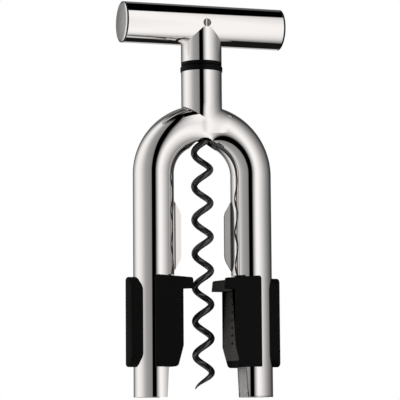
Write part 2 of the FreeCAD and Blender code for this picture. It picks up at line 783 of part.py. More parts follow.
def liner_shape():
    """Soft liner with rows of dimples and a scalloped groove down its middle."""
    sheet = cut("liner_sheet", liner_room("liner_outline", "(-fit_clearance)"),
                cylinder("liner_face", "grip_radius", collar_bottom, ("jaw_travel", "0", "0")))
    groove_parts = [box("liner_groove_middle",
                        ("lip_distance", "-liner_groove_half_width", f"{liner_bottom} + liner_foot_gap"),
                        (f"{recess_floor_x}", "liner_groove_half_width",
                         f"{collar_bottom} - liner_foot_gap"))]
    dimples = []
    for i, height in enumerate(dimple_heights(), start=1):
        for name, sign in (("front", "-"), ("back", "")):
            groove_parts.append(along_x(f"liner_scallop_{name}_{i}", "liner_scallop_diameter / 2",
                                        "lip_distance", recess_floor_x, height,
                                        f"{sign}liner_groove_half_width"))
            dimples.append(along_x(f"liner_dimple_{name}_{i}", "liner_dimple_diameter / 2",
                                   "lip_distance", f"{recess_floor_x} + overrun", height,
                                   f"{sign}liner_dimple_distance"))
    groove = common("liner_groove", fuse("liner_groove_outline", groove_parts),
                    cylinder("liner_groove_floor", "grip_radius + liner_groove_depth",
                             collar_bottom, ("jaw_travel", "0", "0")))
    return cut("liner_shape", sheet, groove, *dimples)


def pad_shape():
    """Pad that fills the window and stands proud of the tube, round about the leg."""
    outer = f"({tube_radius} + pad_rise)"
    block = obround("pad_block", pad_half_width, "jaw_bottom", pad_top, core_end_x,
                    f"{leg_x} + {outer} + overrun")
    face = cylinder("pad_face", outer, "leg_height", (leg_x, "0", "0"))
    pad = common("pad_form", block, face)
    outer_reach = number(f"{leg_x} + {tube_radius}")

    def on_outer_face(edge):
        radius = number(outer)
        for vertex in edge.Vertexes:
            reach = math.hypot(vertex.Point.x - number(leg_x), vertex.Point.y)
            if abs(reach - radius) > cell("fit_clearance") or vertex.Point.x < outer_reach:
                return False
        return edge.BoundBox.ZLength > 0

    pad = rounded("pad_rounded", pad, "pad_edge_radius", on_outer_face)
    cuts = [along_x(f"pad_spring_pocket_{i}", "spring_diameter / 2 + window_clearance",
                    f"{core_end_x} - overrun", spring_seat_x, height)
            for i, height in enumerate(pin_heights, start=1)]
    cuts += [along_x(f"pad_screw_hole_{i}", "pad_screw_diameter / 2 + fit_clearance",
                     f"{core_end_x} - overrun", f"{core_end_x} + pad_screw_depth + fit_clearance",
                     height)
             for i, height in enumerate(pad_screw_heights, start=1)]
    return cut("pad_shape", pad, *cuts)


def pad_screw_shape():
    """Two screws that hold the pad to the jaw's core from under the liner."""
    rods = []
    for i, height in enumerate(pad_screw_heights, start=1):
        under_head = f"({recess_floor_x} + pad_screw_head_height)"
        rods.append(along_x(f"pad_screw_head_{i}", "pad_screw_head_diameter / 2",
                            f"{recess_floor_x} + fit_clearance", under_head, height))
        rods.append(along_x(f"pad_screw_shank_{i}", "pad_screw_diameter / 2",
                            f"{under_head} - fit_clearance", f"{core_end_x} + pad_screw_depth",
                            height))
    return fuse("pad_screws", rods)


def spring_shape():
    """Two return springs, drawn pressed and as plain sleeves, between the guide pins and the pad."""
    start = f"({leg_x} + pin_diameter / 2 + jaw_travel + slide_clearance)"
    seat = f"({spring_seat_x} - fit_clearance)"
    sleeves = []
    for i, height in enumerate(pin_heights, start=1):
        outside = along_x(f"spring_outside_{i}", "spring_diameter / 2", start, seat, height)
        inside = along_x(f"spring_inside_{i}", "spring_diameter / 2 - spring_wire",
                         f"{start} - overrun", f"{seat} + overrun", height)
        sleeves.append(cut(f"spring_{i}", outside, inside))
    return fuse("spring_pair", sleeves)


def jaw_pieces():
    """Every piece that moves with a jaw, once on the right and once half round on the left."""
    pieces = {
        "jaw": jaw_shape(),
        "grip_insert": liner_shape(),
        "press_pad": pad_shape(),
        "pad_screws": pad_screw_shape(),
        "return_springs": spring_shape(),
    }
    doc.recompute()
    for side, turn in (("left", HALF_TURN), ("right", UPRIGHT)):
        for name, source in pieces.items():
            item = doc.addObject("Part::Compound", f"{side}_{name}_placed")
            item.Links = [source]
            item.Placement = FreeCAD.Placement(FreeCAD.Vector(), turn)
            finish(item, f"{side}_{name}")


frame_arch()
frame_neck()
neck_bushing()
cork_fin("left_cork_fin", 180.0)
cork_fin("right_cork_fin", 0.0)
guide_pins()
glide_washer()
handle_bar()
handle_stub()
end_cap("left_end_cap", 180.0 + cell("handle_turn"))
end_cap("right_end_cap", cell("handle_turn"))
spindle_hub()
handle_screw()
worm()
jaw_pieces()

doc.recompute()
failed = [item.Name for item in doc.Objects if {"Invalid", "Error"} & set(item.State)]
if failed:
    raise RuntimeError(f"objects that did not build: {failed}")
for label, item in sub_parts.items():
    if item.Shape.isNull() or not item.Shape.isValid() or not item.Shape.Solids:
        raise RuntimeError(f"{label} has no valid solid")

os.makedirs("parts", exist_ok=True)
for label, item in sub_parts.items():
    item.Shape.exportStep(f"parts/{label}.step")
print(len(sub_parts), "sub-parts written")
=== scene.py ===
"""Looks of a free-standing corkscrew with a bent tube frame, a cross handle, a coated worm and
black jaws, built as an add-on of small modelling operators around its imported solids."""

import math

import bmesh
import bpy
from bpy.props import FloatProperty, FloatVectorProperty, IntProperty, PointerProperty
from mathutils import Matrix, Vector


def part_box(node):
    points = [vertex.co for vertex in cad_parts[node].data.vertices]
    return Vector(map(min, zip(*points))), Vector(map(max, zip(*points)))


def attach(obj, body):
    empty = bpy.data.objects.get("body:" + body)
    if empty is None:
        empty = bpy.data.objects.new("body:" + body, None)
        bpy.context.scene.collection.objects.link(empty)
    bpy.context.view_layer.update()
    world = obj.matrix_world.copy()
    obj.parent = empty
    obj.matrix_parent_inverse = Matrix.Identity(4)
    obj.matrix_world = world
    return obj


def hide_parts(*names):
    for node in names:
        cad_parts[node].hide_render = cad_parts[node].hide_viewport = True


bl_info = {
    "name": "Tube frame corkscrew",
    "version": (1, 0, 0),
    "blender": (4, 5, 0),
    "location": "View3D > Sidebar > Corkscrew",
    "description": "Builds a polished tube frame corkscrew with a coated worm and black jaws",
    "category": "Object",
}

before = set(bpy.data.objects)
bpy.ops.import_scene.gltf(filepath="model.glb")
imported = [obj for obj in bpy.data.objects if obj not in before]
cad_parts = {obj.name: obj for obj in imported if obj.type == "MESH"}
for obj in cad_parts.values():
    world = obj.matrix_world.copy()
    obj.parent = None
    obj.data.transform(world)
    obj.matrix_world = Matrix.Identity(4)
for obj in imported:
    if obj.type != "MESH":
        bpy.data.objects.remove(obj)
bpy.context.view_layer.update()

MM = 0.001
TAB = "Corkscrew"
SIDES = {"left": -1, "right": 1}

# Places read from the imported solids
NECK_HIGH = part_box("frame_neck")[1]
FLANGE_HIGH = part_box("neck_bushing")[1]
WASHER_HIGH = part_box("glide_washer")[1]
JAW_LOW, JAW_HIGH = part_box("right_jaw")
LINER_LOW, LINER_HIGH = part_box("right_grip_insert")
PAD_LOW, PAD_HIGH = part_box("right_press_pad")
FIN_LOW, FIN_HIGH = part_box("right_cork_fin")
WORM_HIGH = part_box("worm")[1]
HUB_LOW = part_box("spindle_hub")[0]

# Fine limits of the modelling steps, and the reach of the smooth weld and of its bead
HAIR = 0.001 * MM
PLAY = 0.05 * MM
WELD_REACH = 4 * MM
BEAD_REACH = 0.35 * MM

# Height of the washer's spigot inside the stub, and how deep a cap's rim stands out
SPIGOT = 1.5 * MM
CAP_RIM = 0.8 * MM


# Sizes and colours that a user would change

def length(name, description, millimetres):
    return FloatProperty(name=name, description=description, default=millimetres * MM,
                         unit="LENGTH", precision=5)


def colour(name, description, value):
    return FloatVectorProperty(name=name, description=description, default=value, size=3,
                               subtype="COLOR", min=0.0, max=1.0)


def number(name, description, value, highest=1.0):
    return FloatProperty(name=name, description=description, default=value, min=0.0, max=highest)


def tilt(name, description, degrees):
    return FloatProperty(name=name, description=description, default=math.radians(degrees),
                         subtype="ANGLE")


def whole(name, description, value, lowest, highest):
    return IntProperty(name=name, description=description, default=value, min=lowest,
                       max=highest)


class TubeSizes(bpy.types.PropertyGroup):
    """Bent tube, neck and cross handle"""
    radius: length("Tube radius", "Outer radius of the legs, the bend, the neck and the stub", 9.0)
    wall: length("Tube wall", "Thickness of the tubes' wall", 1.5)
    leg_offset: length("Leg offset", "Distance from the bottle's axis to a leg's axis", 22.0)
    leg_height: length("Leg height", "Height at which the legs meet the bend", 96.9)
    crown_hole: length("Crown hole radius", "Radius of the worm's hole in the bend", 6.5)
    weld_depth: length("Weld depth", "How deep a saddle end sinks into the other tube's wall", 0.7)
    bar_radius: length("Bar radius", "Outer radius of the cross handle", 9.05)
    bar_half_length: length("Bar half length", "From the middle of the bar to a cap's rim", 36.55)
    bar_height: length("Bar height", "Height of the cross handle's axis", 163.4)
    bar_turn: tilt("Bar turn", "Turn of the handle about the bottle's axis", 3.3)
    around: whole("Faces around", "Faces around a polished tube", 144, 24, 256)
    bend_steps: whole("Faces along the bend", "Steps of the half ring", 96, 16, 256)


class JawSizes(bpy.types.PropertyGroup):
    """Jaws, liners and press pads"""
    lip_distance: length("Lip distance", "From the bottle's axis to a jaw's lip", 11.6)
    lip_half_depth: length("Lip half depth", "Half of a jaw's depth at its lip", 11.2)
    plate_half_depth: length("Plate half depth", "Half of a jaw's depth at its outer edge", 9.95)
    plate_end: length("Plate end", "From the bottle's axis to a plate's outer edge", 23.7)
    taper_height: length("Taper height", "Height of the slope at the lip's foot", 9.0)
    taper_inset: length("Taper inset", "How far the slope runs back", 2.4)
    grip_radius: length("Grip radius", "Radius of the pocket for the bottle's neck", 14.2)
    grip_centre: length("Grip centre", "Distance from the bottle's axis to the pocket's axis", 2.0)
    passage_radius: length("Passage radius", "Radius of the cork's passage", 11.2)
    collar_low: length("Collar foot", "Height of the collar's underside", 46.5)
    top_fall: length("Top fall", "How far a jaw's top falls towards the collar's tip", 1.3)
    tip_slant: length("Tip slant", "How far the collar's tip leans back at its top", 0.5)
    collar_half_depth: length("Collar half depth", "Half of the collar's depth at its tip", 11.0)
    leg_clearance: length("Leg clearance", "Gap between a jaw and its leg", 0.15)
    core_half_width: length("Core half width", "Half of the web's width inside the tube", 5.2)
    edge_round: length("Edge rounding", "Radius on a jaw's edges", 0.3)
    liner_thickness: length("Liner thickness", "Thickness of the soft liner", 0.8)
    liner_half_width: length("Liner half width", "Half of the liner's width", 10.3)
    pad_half_width: length("Pad half width", "Half of a press pad's width", 6.2)
    pad_radius: length("Pad radius", "Radius of a press pad's face about its leg's axis", 12.3)
    pad_round: length("Pad rounding", "Radius on a press pad's edges", 1.0)
    fin_run: length("Fin run", "Width over which a fin's slopes run", 3.9)
    fin_slope: length("Fin slope", "Height of a fin's slopes", 6.6)
    fin_corner: length("Fin corner", "How far a fin's rounded corners reach", 1.8)
    # Width of the strip of painted shade at a fin's root
    fin_root_shade: length("Fin bead", "Width of the weld strip at a fin's root", 0.7)
    dimple_rise: length("Dimple rise", "How far the dimples sit above the liner's middle", 2.7)


class WormSizes(bpy.types.PropertyGroup):
    """Coated worm"""
    coil_radius: length("Coil radius", "Radius of the wire's centre line", 3.55)
    wire_radius: length("Wire radius", "Radius of the wire", 1.425)
    tip_radius: length("Tip radius", "Radius of the wire at its point", 0.2)
    pitch: length("Pitch", "Rise of one turn", 14.8)
    start: length("Tip height", "Height of the point", 3.6)
    turns: number("Turns", "Number of turns", 9.0, 50.0)
    tip_turns: number("Tip turns", "Turns over which the wire tapers", 0.5)
    tip_angle: tilt("Tip angle", "Place of the point around the axis", 173.5)
    steps: whole("Steps in a turn", "Points of the coil in one turn", 36, 8, 96)


class Finishes(bpy.types.PropertyGroup):
    """Colours of the finishes"""
    polished: colour("Polished steel", "Colour of the mirror polished tubes", (0.86, 0.845, 0.835))
    # Painted reflection: the inner walls are the same polished steel, and this pale matte colour
    # stands in for the light they mirror; its falloff into the tube comes from the real light
    inner: colour("Inner steel", "Colour of the tubes' inner walls", (0.93, 0.92, 0.91))
    satin: colour("Satin steel", "Colour of the caps' discs", (0.6, 0.59, 0.58))
    # Painted shade: a dark steel laid where shade falls, in the fins' roots, the crown's hole and
    # the caps' grooves
    weld: colour("Weld steel", "Colour of the weld strips at the fins' roots", (0.08, 0.08, 0.08))
    # Painted reflection: the right fin is the same polished steel as the left one, and this darker
    # colour on its face stands in for the darker things it reflects
    fin: colour("Fin steel", "Colour of the right fin's face", (0.33, 0.325, 0.32))
    screw: colour("Screw steel", "Colour of the handle screw's head", (0.2, 0.19, 0.19))
    plain: colour("Plain steel", "Colour of the screws, pins and the hub", (0.62, 0.61, 0.60))
    plastic: colour("Black plastic", "Colour of the jaws and pads", (0.0035, 0.0034, 0.0032))
    # A lighter tone of the jaw plastic on the collars' passages
    passage_tone: colour("Rubbed plastic", "Colour of the collars' passages", (0.03, 0.029, 0.027))
    ring: colour("Ring plastic", "Colour of the neck's rings", (0.002, 0.002, 0.002))
    liner: colour("Liner", "Colour of the soft liners", (0.075, 0.0725, 0.066))
    coating: colour("Coating", "Colour of the coated worm", (0.004, 0.004, 0.004))


class StageSettings(bpy.types.PropertyGroup):
    """Floor, light and camera"""
    floor_colour: colour("Floor", "Colour of the floor", (0.93, 0.93, 0.93))
    world_level: number("World level", "Brightness of the surroundings", 1.0, 2.0)
    tent_level: number("Tent level", "Brightness of the tent in the polished steel", 1.08, 3.0)
    tent_radius: length("Tent radius", "Radius of the light tent", 510.0)
    camera_place: FloatVectorProperty(name="Camera place", description="Place of the camera",
                                      default=(-0.23745, -0.90662, -0.01896), subtype="XYZ",
                                      unit="LENGTH")
    camera_yaw: tilt("Camera yaw", "Heading from +Y towards +X", 14.614)
    camera_pitch: tilt("Camera pitch", "Tilt above the horizon", 6.395)
    camera_roll: tilt("Camera roll", "Turn about the line of sight", -0.424)
    camera_lens: number("Lens", "Focal length in millimetres", 193.8, 1000.0)


def settings(name):
    return getattr(bpy.context.scene, "corkscrew_" + name)


# Modelling helpers

def choose(piece):
    """Only this piece is selected and active."""
    if bpy.context.object and bpy.context.object.mode != "OBJECT":
        bpy.ops.object.mode_set(mode="OBJECT")
    bpy.ops.object.select_all(action="DESELECT")
    piece.select_set(True)
    bpy.context.view_layer.objects.active = piece


def settled(name):
    """The new object gets its name, and its place goes into its mesh."""
    piece = bpy.context.object
    piece.name = name
    piece.data.name = name
    choose(piece)
    bpy.ops.object.transform_apply(location=True, rotation=True, scale=True)
    return piece


def fresh(name, add, **options):
    """New primitive, with its place in its mesh."""
    bpy.ops.object.select_all(action="DESELECT")
    add(**options)
    return settled(name)


def edit(piece):
    choose(piece)
    bpy.ops.object.mode_set(mode="EDIT")
    bpy.ops.mesh.select_all(action="SELECT")


def leave():
    bpy.ops.object.mode_set(mode="OBJECT")


def pick(kind, test):
    """Selects the vertices, edges or faces of the edited mesh that pass the test."""
    bpy.ops.mesh.select_mode(type=kind)
    bpy.ops.mesh.select_all(action="DESELECT")
    data = bpy.context.edit_object.data
    mesh = bmesh.from_edit_mesh(data)
    for part in {"VERT": mesh.verts, "EDGE": mesh.edges, "FACE": mesh.faces}[kind]:
        if test(part):
            part.select_set(True)
    mesh.select_flush_mode()
    bmesh.update_edit_mesh(data)


def cylinder(name, radius, start, end, around=96):
    """Closed cylinder between two points."""
    start, end = Vector(start), Vector(end)
    axis = end - start
    return fresh(name, bpy.ops.mesh.primitive_cylinder_add, vertices=around, radius=radius,
                 depth=axis.length, location=(start + end) / 2,
                 rotation=axis.to_track_quat("Z", "Y").to_euler())


def block(name, low, high):
    """Box between two corners."""
    low, high = Vector(low), Vector(high)
    return fresh(name, bpy.ops.mesh.primitive_cube_add, size=1.0, location=(low + high) / 2,
                 scale=high - low)


def slice_off(piece, point, normal):
    """Cuts away what lies beyond a plane and closes the cut."""
    edit(piece)
    bpy.ops.mesh.bisect(plane_co=point, plane_no=Vector(normal).normalized(), use_fill=True,
                        clear_outer=True, threshold=HAIR)
    leave()


def applied(piece, kind, **values):
    """A modifier gets its values and is applied."""
    modifier = piece.modifiers.new(kind.lower(), kind)
    for field, value in values.items():
        setattr(modifier, field, value)
    choose(piece)
    bpy.ops.object.modifier_apply(modifier=modifier.name)
    return piece


def combine(piece, others, operation="DIFFERENCE"):
    """Boolean of a piece with others, which are used up."""
    for other in others:
        applied(piece, "BOOLEAN", operation=operation, solver="EXACT", object=other)
        data = other.data
        bpy.data.objects.remove(other, do_unlink=True)
        bpy.data.meshes.remove(data)
    return piece


def round_edges(piece, width, segments=3, angle=35.0):
    """Bevel on every edge that is sharper than the angle."""
    return applied(piece, "BEVEL", width=width, segments=segments, limit_method="ANGLE",
                   angle_limit=math.radians(angle), use_clamp_overlap=True)


def clean(piece):
    """Doubles merged and normals turned outwards."""
    edit(piece)
    bpy.ops.mesh.remove_doubles(threshold=2 * HAIR)
    bpy.ops.mesh.normals_make_consistent(inside=False)
    leave()
    return piece


def shade(piece, angle=32.0):
    """Smooth shading with sharp edges beyond the angle, even over flat faces."""
    choose(piece)
    bpy.ops.object.shade_smooth_by_angle(angle=math.radians(angle))
    return applied(piece, "WEIGHTED_NORMAL", weight=100, keep_sharp=True)


def true_normals(piece, outward, nearness=0.93, blend=None):
    """Normals of a round tube are set from its axis, so that cuts leave the polish even. The
    inner wall gets the second finish."""
    data = piece.data
    normals = [Vector()] * len(data.loops)
    for face in data.polygons:
        for loop in face.loop_indices:
            point = data.vertices[data.loops[loop].vertex_index].co
            axis = outward(point)
            along = axis.dot(face.normal)
            if along > nearness:
                normals[loop] = blend(point, axis) if blend else axis
            elif along < -nearness:
                normals[loop] = -axis
                face.material_index = min(1, len(data.materials) - 1)
    data.normals_split_custom_set(normals)
    return piece


def lathe(name, profile, around=128, solid=False):
    """Turned piece: a ring is drawn along radii and heights. A solid one closes at both ends."""
    radius, height = profile[0]
    piece = fresh(name, bpy.ops.mesh.primitive_circle_add, vertices=around, radius=radius,
                  location=(0, 0, height), fill_type="NGON" if solid else "NOTHING")
    edit(piece)
    for next_radius, next_height in profile[1:]:
        bpy.ops.mesh.extrude_region_move(
            TRANSFORM_OT_translate={"value": (0, 0, next_height - height)})
        grow = next_radius / radius
        bpy.ops.transform.resize(value=(grow, grow, 1), center_override=(0, 0, next_height))
        radius, height = next_radius, next_height
    leave()
    return clean(piece)


def tube(name, radius, heights):
    """Tube with the usual wall, in rings at the given heights."""
    sizes = settings("tube")
    profile = [(radius, height) for height in heights]
    profile += [(radius - sizes.wall, height) for height in reversed(heights)]
    return lathe(name, profile + profile[:1], sizes.around)


def soften(piece, place, reach):
    """Rounds the edge along Y through one place of the XZ plane."""
    edit(piece)
    pick("EDGE", lambda edge: all(abs(v.co.x - place[0]) < PLAY
                                  and abs(v.co.z - place[1]) < PLAY for v in edge.verts))
    bpy.ops.mesh.bevel(offset=reach, segments=8, affect="EDGES")
    leave()


def turn_about_z(piece, angle):
    piece.data.transform(Matrix.Rotation(angle, 4, "Z"))
    return piece


def obround(name, half_width, low, high, start, end):
    """Slot shape with round ends along X: a cylinder whose upper half is drawn up."""
    centre = low + half_width
    piece = cylinder(name, half_width, (start, 0, centre), (end, 0, centre))
    edit(piece)
    pick("VERT", lambda vertex: vertex.co.z > centre + 0.01 * MM)
    bpy.ops.transform.translate(value=(0, 0, high - low - 2 * half_width))
    leave()
    return piece


def mirrored(piece, name):
    """Copy of a right-hand piece, turned half round for the left."""
    copy = piece.copy()
    copy.data = piece.data.copy()
    copy.name = copy.data.name = name
    bpy.context.scene.collection.objects.link(copy)
    return turn_about_z(copy, math.pi)


def coat(piece, *finishes):
    """Finishes of a piece, the main one first."""
    piece.data.materials.clear()
    for name in finishes:
        piece.data.materials.append(finish(name))
    return piece


def repaint(piece, index, test):
    """The faces that pass the test get another one of the piece's finishes."""
    for face in piece.data.polygons:
        if test(face):
            face.material_index = index


def mount(piece, body, slot, node, *finishes):
    """Body, finish and CAD node of a finished piece."""
    if finishes:
        coat(piece, *finishes)
    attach(piece, body)
    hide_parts(node)


def mount_pair(piece, slot, node, *finishes):
    """The right-hand piece and its copy for the left ride on the two jaws."""
    twin = mirrored(piece, piece.name.replace("right", "left"))
    for side, half in (("left", twin), ("right", piece)):
        mount(half, side + "_jaw_unit", slot, side + "_" + node, *finishes)


# Node helpers and shared effects

def socket(label):
    """Name of a node's input from a keyword."""
    return label.replace("_", " ").title().replace("Ior", "IOR")


def new_node(nodes, kind, **values):
    """New node, with fixed values on some of its inputs."""
    node = nodes.new(kind)
    for label, value in values.items():
        node.inputs[socket(label)].default_value = value
    return node


def wire(links, *wires):
    """Links, each given as a node, its output, the next node and its input."""
    for source, output, target, entry in wires:
        links.new(source.outputs[output], target.inputs[entry])


def math_node(nodes, operation, *values):
    """Math node with fixed values and links given in order."""
    node = nodes.new("ShaderNodeMath")
    node.operation = operation
    for index, value in enumerate(values):
        if isinstance(value, (int, float)):
            node.inputs[index].default_value = value
        else:
            node.id_data.links.new(value, node.inputs[index])
    return node.outputs["Value"]


def new_group(name, inputs, output):
    """Node group with its inputs and its one output."""
    group = bpy.data.node_groups.new(name, "ShaderNodeTree")
    for label, kind, value in inputs:
        entry = group.interface.new_socket(name=label, in_out="INPUT",
                                           socket_type="NodeSocket" + kind)
        entry.default_value = value
    group.interface.new_socket(name=output[0], in_out="OUTPUT",
                               socket_type="NodeSocket" + output[1])
    return group, group.nodes.new("NodeGroupInput"), group.nodes.new("NodeGroupOutput")


def grain_group():
    """Fine relief on Object coordinates."""
    group, entry, result = new_group(
        "surface_grain", [("Scale", "Float", 1500.0), ("Strength", "Float", 0.2),
                          ("Depth", "Float", 0.00005)], ("Normal", "Vector"))
    place = group.nodes.new("ShaderNodeTexCoord")
    noise = new_node(group.nodes, "ShaderNodeTexNoise", detail=3.0)
    bump = group.nodes.new("ShaderNodeBump")
    wire(group.links, (place, "Object", noise, "Vector"), (entry, "Scale", noise, "Scale"),
         (noise, "Fac", bump, "Height"), (entry, "Strength", bump, "Strength"),
         (entry, "Depth", bump, "Distance"), (bump, "Normal", result, "Normal"))
    return group


def drift_group():
    """Slow change between two values over the surface, such as wiping marks."""
    group, entry, result = new_group(
        "surface_drift", [("Scale", "Float", 60.0), ("Stretch", "Vector", (1.0, 1.0, 1.0)),
                          ("Low", "Float", 0.0), ("High", "Float", 1.0)], ("Value", "Float"))
    place = group.nodes.new("ShaderNodeTexCoord")
    stretch = group.nodes.new("ShaderNodeVectorMath")
    stretch.operation = "MULTIPLY"
    noise = new_node(group.nodes, "ShaderNodeTexNoise", detail=4.0)
    span = new_node(group.nodes, "ShaderNodeMapRange", from_min=0.3, from_max=0.7)
    wire(group.links, (place, "Object", stretch, 0), (entry, "Stretch", stretch, 1),
         (stretch, "Vector", noise, "Vector"), (entry, "Scale", noise, "Scale"),
         (noise, "Fac", span, "Value"), (entry, "Low", span, "To Min"),
         (entry, "High", span, "To Max"), (span, "Result", result, "Value"))
    return group


def tint_group():
    """A colour that gets slightly darker and lighter by fine drift."""
    group, entry, result = new_group(
        "surface_tint", [("Color", "Color", (0.5, 0.5, 0.5, 1.0)), ("Scale", "Float", 300.0),
                         ("Spread", "Float", 0.1)], ("Color", "Color"))
    place = group.nodes.new("ShaderNodeTexCoord")
    noise = new_node(group.nodes, "ShaderNodeTexNoise", detail=5.0)
    span = group.nodes.new("ShaderNodeMapRange")
    scale = group.nodes.new("ShaderNodeVectorMath")
    scale.operation = "SCALE"
    for end, operation in (("To Min", "SUBTRACT"), ("To Max", "ADD")):
        group.links.new(math_node(group.nodes, operation, 1.0, entry.outputs["Spread"]),
                        span.inputs[end])
    wire(group.links, (place, "Object", noise, "Vector"), (entry, "Scale", noise, "Scale"),
         (noise, "Fac", span, "Value"), (entry, "Color", scale, 0),
         (span, "Result", scale, "Scale"), (scale, "Vector", result, "Color"))
    return group


SHARED_EFFECTS = {"surface_grain": grain_group, "surface_drift": drift_group,
                  "surface_tint": tint_group}


def effect(material, name, **values):
    """Placed copy of a shared effect with its own values."""
    node = material.node_tree.nodes.new("ShaderNodeGroup")
    node.node_tree = bpy.data.node_groups.get(name) or SHARED_EFFECTS[name]()
    for label, value in values.items():
        node.inputs[socket(label)].default_value = value
    return node


# Each finish: its colour, metallic, lowest and highest roughness, and what else it needs. A
# grain is given by scale, strength and depth.
RECIPES = {
    "mirror_steel": ("polished", 1.0, 0.01, 0.03, {"spread": 0.015, "drift_scale": 90.0}),
    # Painted reflection for the tubes' inner walls: a pale matte colour in place of mirrored
    # light, shaded by the real light
    "inner_wall_painted_reflection": ("inner", 0.0, 0.4, 0.5, {"drift_scale": 90.0}),
    # Painted shade for the fins' roots, the crown's hole and the caps' grooves
    "recess_shade_steel": ("weld", 1.0, 0.25, 0.4, {"spread": 0.1, "drift_scale": 200.0}),
    # Painted darker reflection on the right fin's face
    "fin_steel": ("fin", 1.0, 0.1, 0.2, {"drift_scale": 120.0, "stretch": (4.0, 4.0, 0.5)}),
    "screw_steel": ("screw", 1.0, 0.25, 0.35, {}),
    "cap_steel": ("satin", 1.0, 0.34, 0.42,
                  {"stretch": (1.0, 1.0, 12.0), "grain": (2500.0, 0.15, 0.00002)}),
    "turned_steel": ("plain", 1.0, 0.2, 0.3, {}),
    "jaw_plastic": ("plastic", 0.0, 0.46, 0.58,
                    {"spread": 0.12, "grain": (3200.0, 0.35, 0.00004), "specular": 0.05}),
    "black_edge": ("plastic", 0.0, 0.24, 0.32, {"specular": 0.6}),
    # Lighter plastic for the collars' passages
    "passage_plastic": ("passage_tone", 0.0, 0.5, 0.6,
                       {"spread": 0.2, "tint_scale": 700.0, "specular": 0.2}),
    "ring_plastic": ("ring", 0.0, 0.3, 0.4,
                     {"grain": (2600.0, 0.15, 0.00002), "specular": 0.08}),
    "liner_rubber": ("liner", 0.0, 0.62, 0.75,
                     {"spread": 0.15, "grain": (4200.0, 0.5, 0.00005), "specular": 0.15}),
    "worm_coating": ("coating", 0.0, 0.2, 0.28,
                     {"grain": (1800.0, 0.2, 0.00003), "specular": 1.0}),
}


def finish(name):
    """Finish of the table, made at its first use. Colour, roughness and relief change slightly
    over the surface."""
    material = bpy.data.materials.get(name)
    if material:
        return material
    base, metallic, low, high, more = RECIPES[name]
    material = bpy.data.materials.new(name)
    material.use_nodes = True
    shader = material.node_tree.nodes["Principled BSDF"]
    shader.inputs["Metallic"].default_value = metallic
    shader.inputs["Specular IOR Level"].default_value = more.get("specular", 0.5)
    tint = effect(material, "surface_tint", color=(*getattr(settings("finishes"), base), 1.0),
                  scale=more.get("tint_scale", 400.0), spread=more.get("spread", 0.05))
    drift = effect(material, "surface_drift", scale=more.get("drift_scale", 60.0),
                   stretch=more.get("stretch", (1.0, 1.0, 1.0)), low=low, high=high)
    wire(material.node_tree.links, (tint, "Color", shader, "Base Color"),
         (drift, "Value", shader, "Roughness"))
    if "grain" in more:
        scale, strength, depth = more["grain"]
        relief = effect(material, "surface_grain", scale=scale, strength=strength, depth=depth)
        wire(material.node_tree.links, (relief, "Normal", shader, "Normal"))
    return material


# Directions away from the tubes' axes

def from_bent_axis(point):
    sizes = settings("tube")
    if point.z <= sizes.leg_height:
        side = math.copysign(sizes.leg_offset, point.x)
        return Vector((point.x - side, point.y, 0)).normalized()
    reach = Vector((point.x, 0, point.z - sizes.leg_height))
    ring = reach.normalized() * sizes.leg_offset
    return (reach - ring + Vector((0, point.y, 0))).normalized()


def from_upright_axis(point):
    return Vector((point.x, point.y, 0)).normalized()


def weld_blend(point, own, other, reach):
    """The ground weld runs smoothly from one tube into the other at the front and the right.
    At the left its edge shows a little above the joint."""
    heading = math.degrees(math.atan2(point.x, -point.y))
    smooth = min(1.0, max(0.0, (heading + 16) / 16)) if heading < 150 else 0.0
    bead = 1.0 if reach < BEAD_REACH and other == from_bent_axis else 0.0
    near = max(0.0, 0.5 - 0.5 * reach / WELD_REACH)
    share = near * smooth + bead * (1 - smooth)
    return (own * (1 - share) + other(point) * share).normalized()


def arch_at_weld(point, own):
    sizes = settings("tube")
    reach = math.hypot(point.x, point.y) - sizes.radius
    if reach > WELD_REACH or point.z < sizes.leg_height + sizes.leg_offset - WELD_REACH:
        return own
    return weld_blend(point, own, from_upright_axis, max(0.0, reach))


def neck_at_weld(point, own):
    sizes = settings("tube")
    ring = math.hypot(point.x, point.z - sizes.leg_height) - sizes.leg_offset
    reach = math.hypot(ring, point.y) - sizes.radius
    return own if reach > WELD_REACH else weld_blend(point, own, from_bent_axis, max(0.0, reach))


def bar_lines():
    """Middle of the cross handle, the direction along it and the one towards its front."""
    sizes = settings("tube")
    along = Vector((math.cos(sizes.bar_turn), math.sin(sizes.bar_turn), 0))
    front = Vector((math.sin(sizes.bar_turn), -math.cos(sizes.bar_turn), 0))
    return Vector((0, 0, sizes.bar_height)), along, front


def from_bar_axis(point):
    middle, along, _ = bar_lines()
    reach = point - middle
    return (reach - along * reach.dot(along)).normalized()


def lay_in_bar(piece, angle, axis):
    """A piece turned about Z is laid over and brought to the middle of the handle."""
    sizes = settings("tube")
    piece.data.transform(Matrix.Translation((0, 0, sizes.bar_height))
                         @ Matrix.Rotation(sizes.bar_turn, 4, "Z")
                         @ Matrix.Rotation(angle, 4, axis))


# Pieces

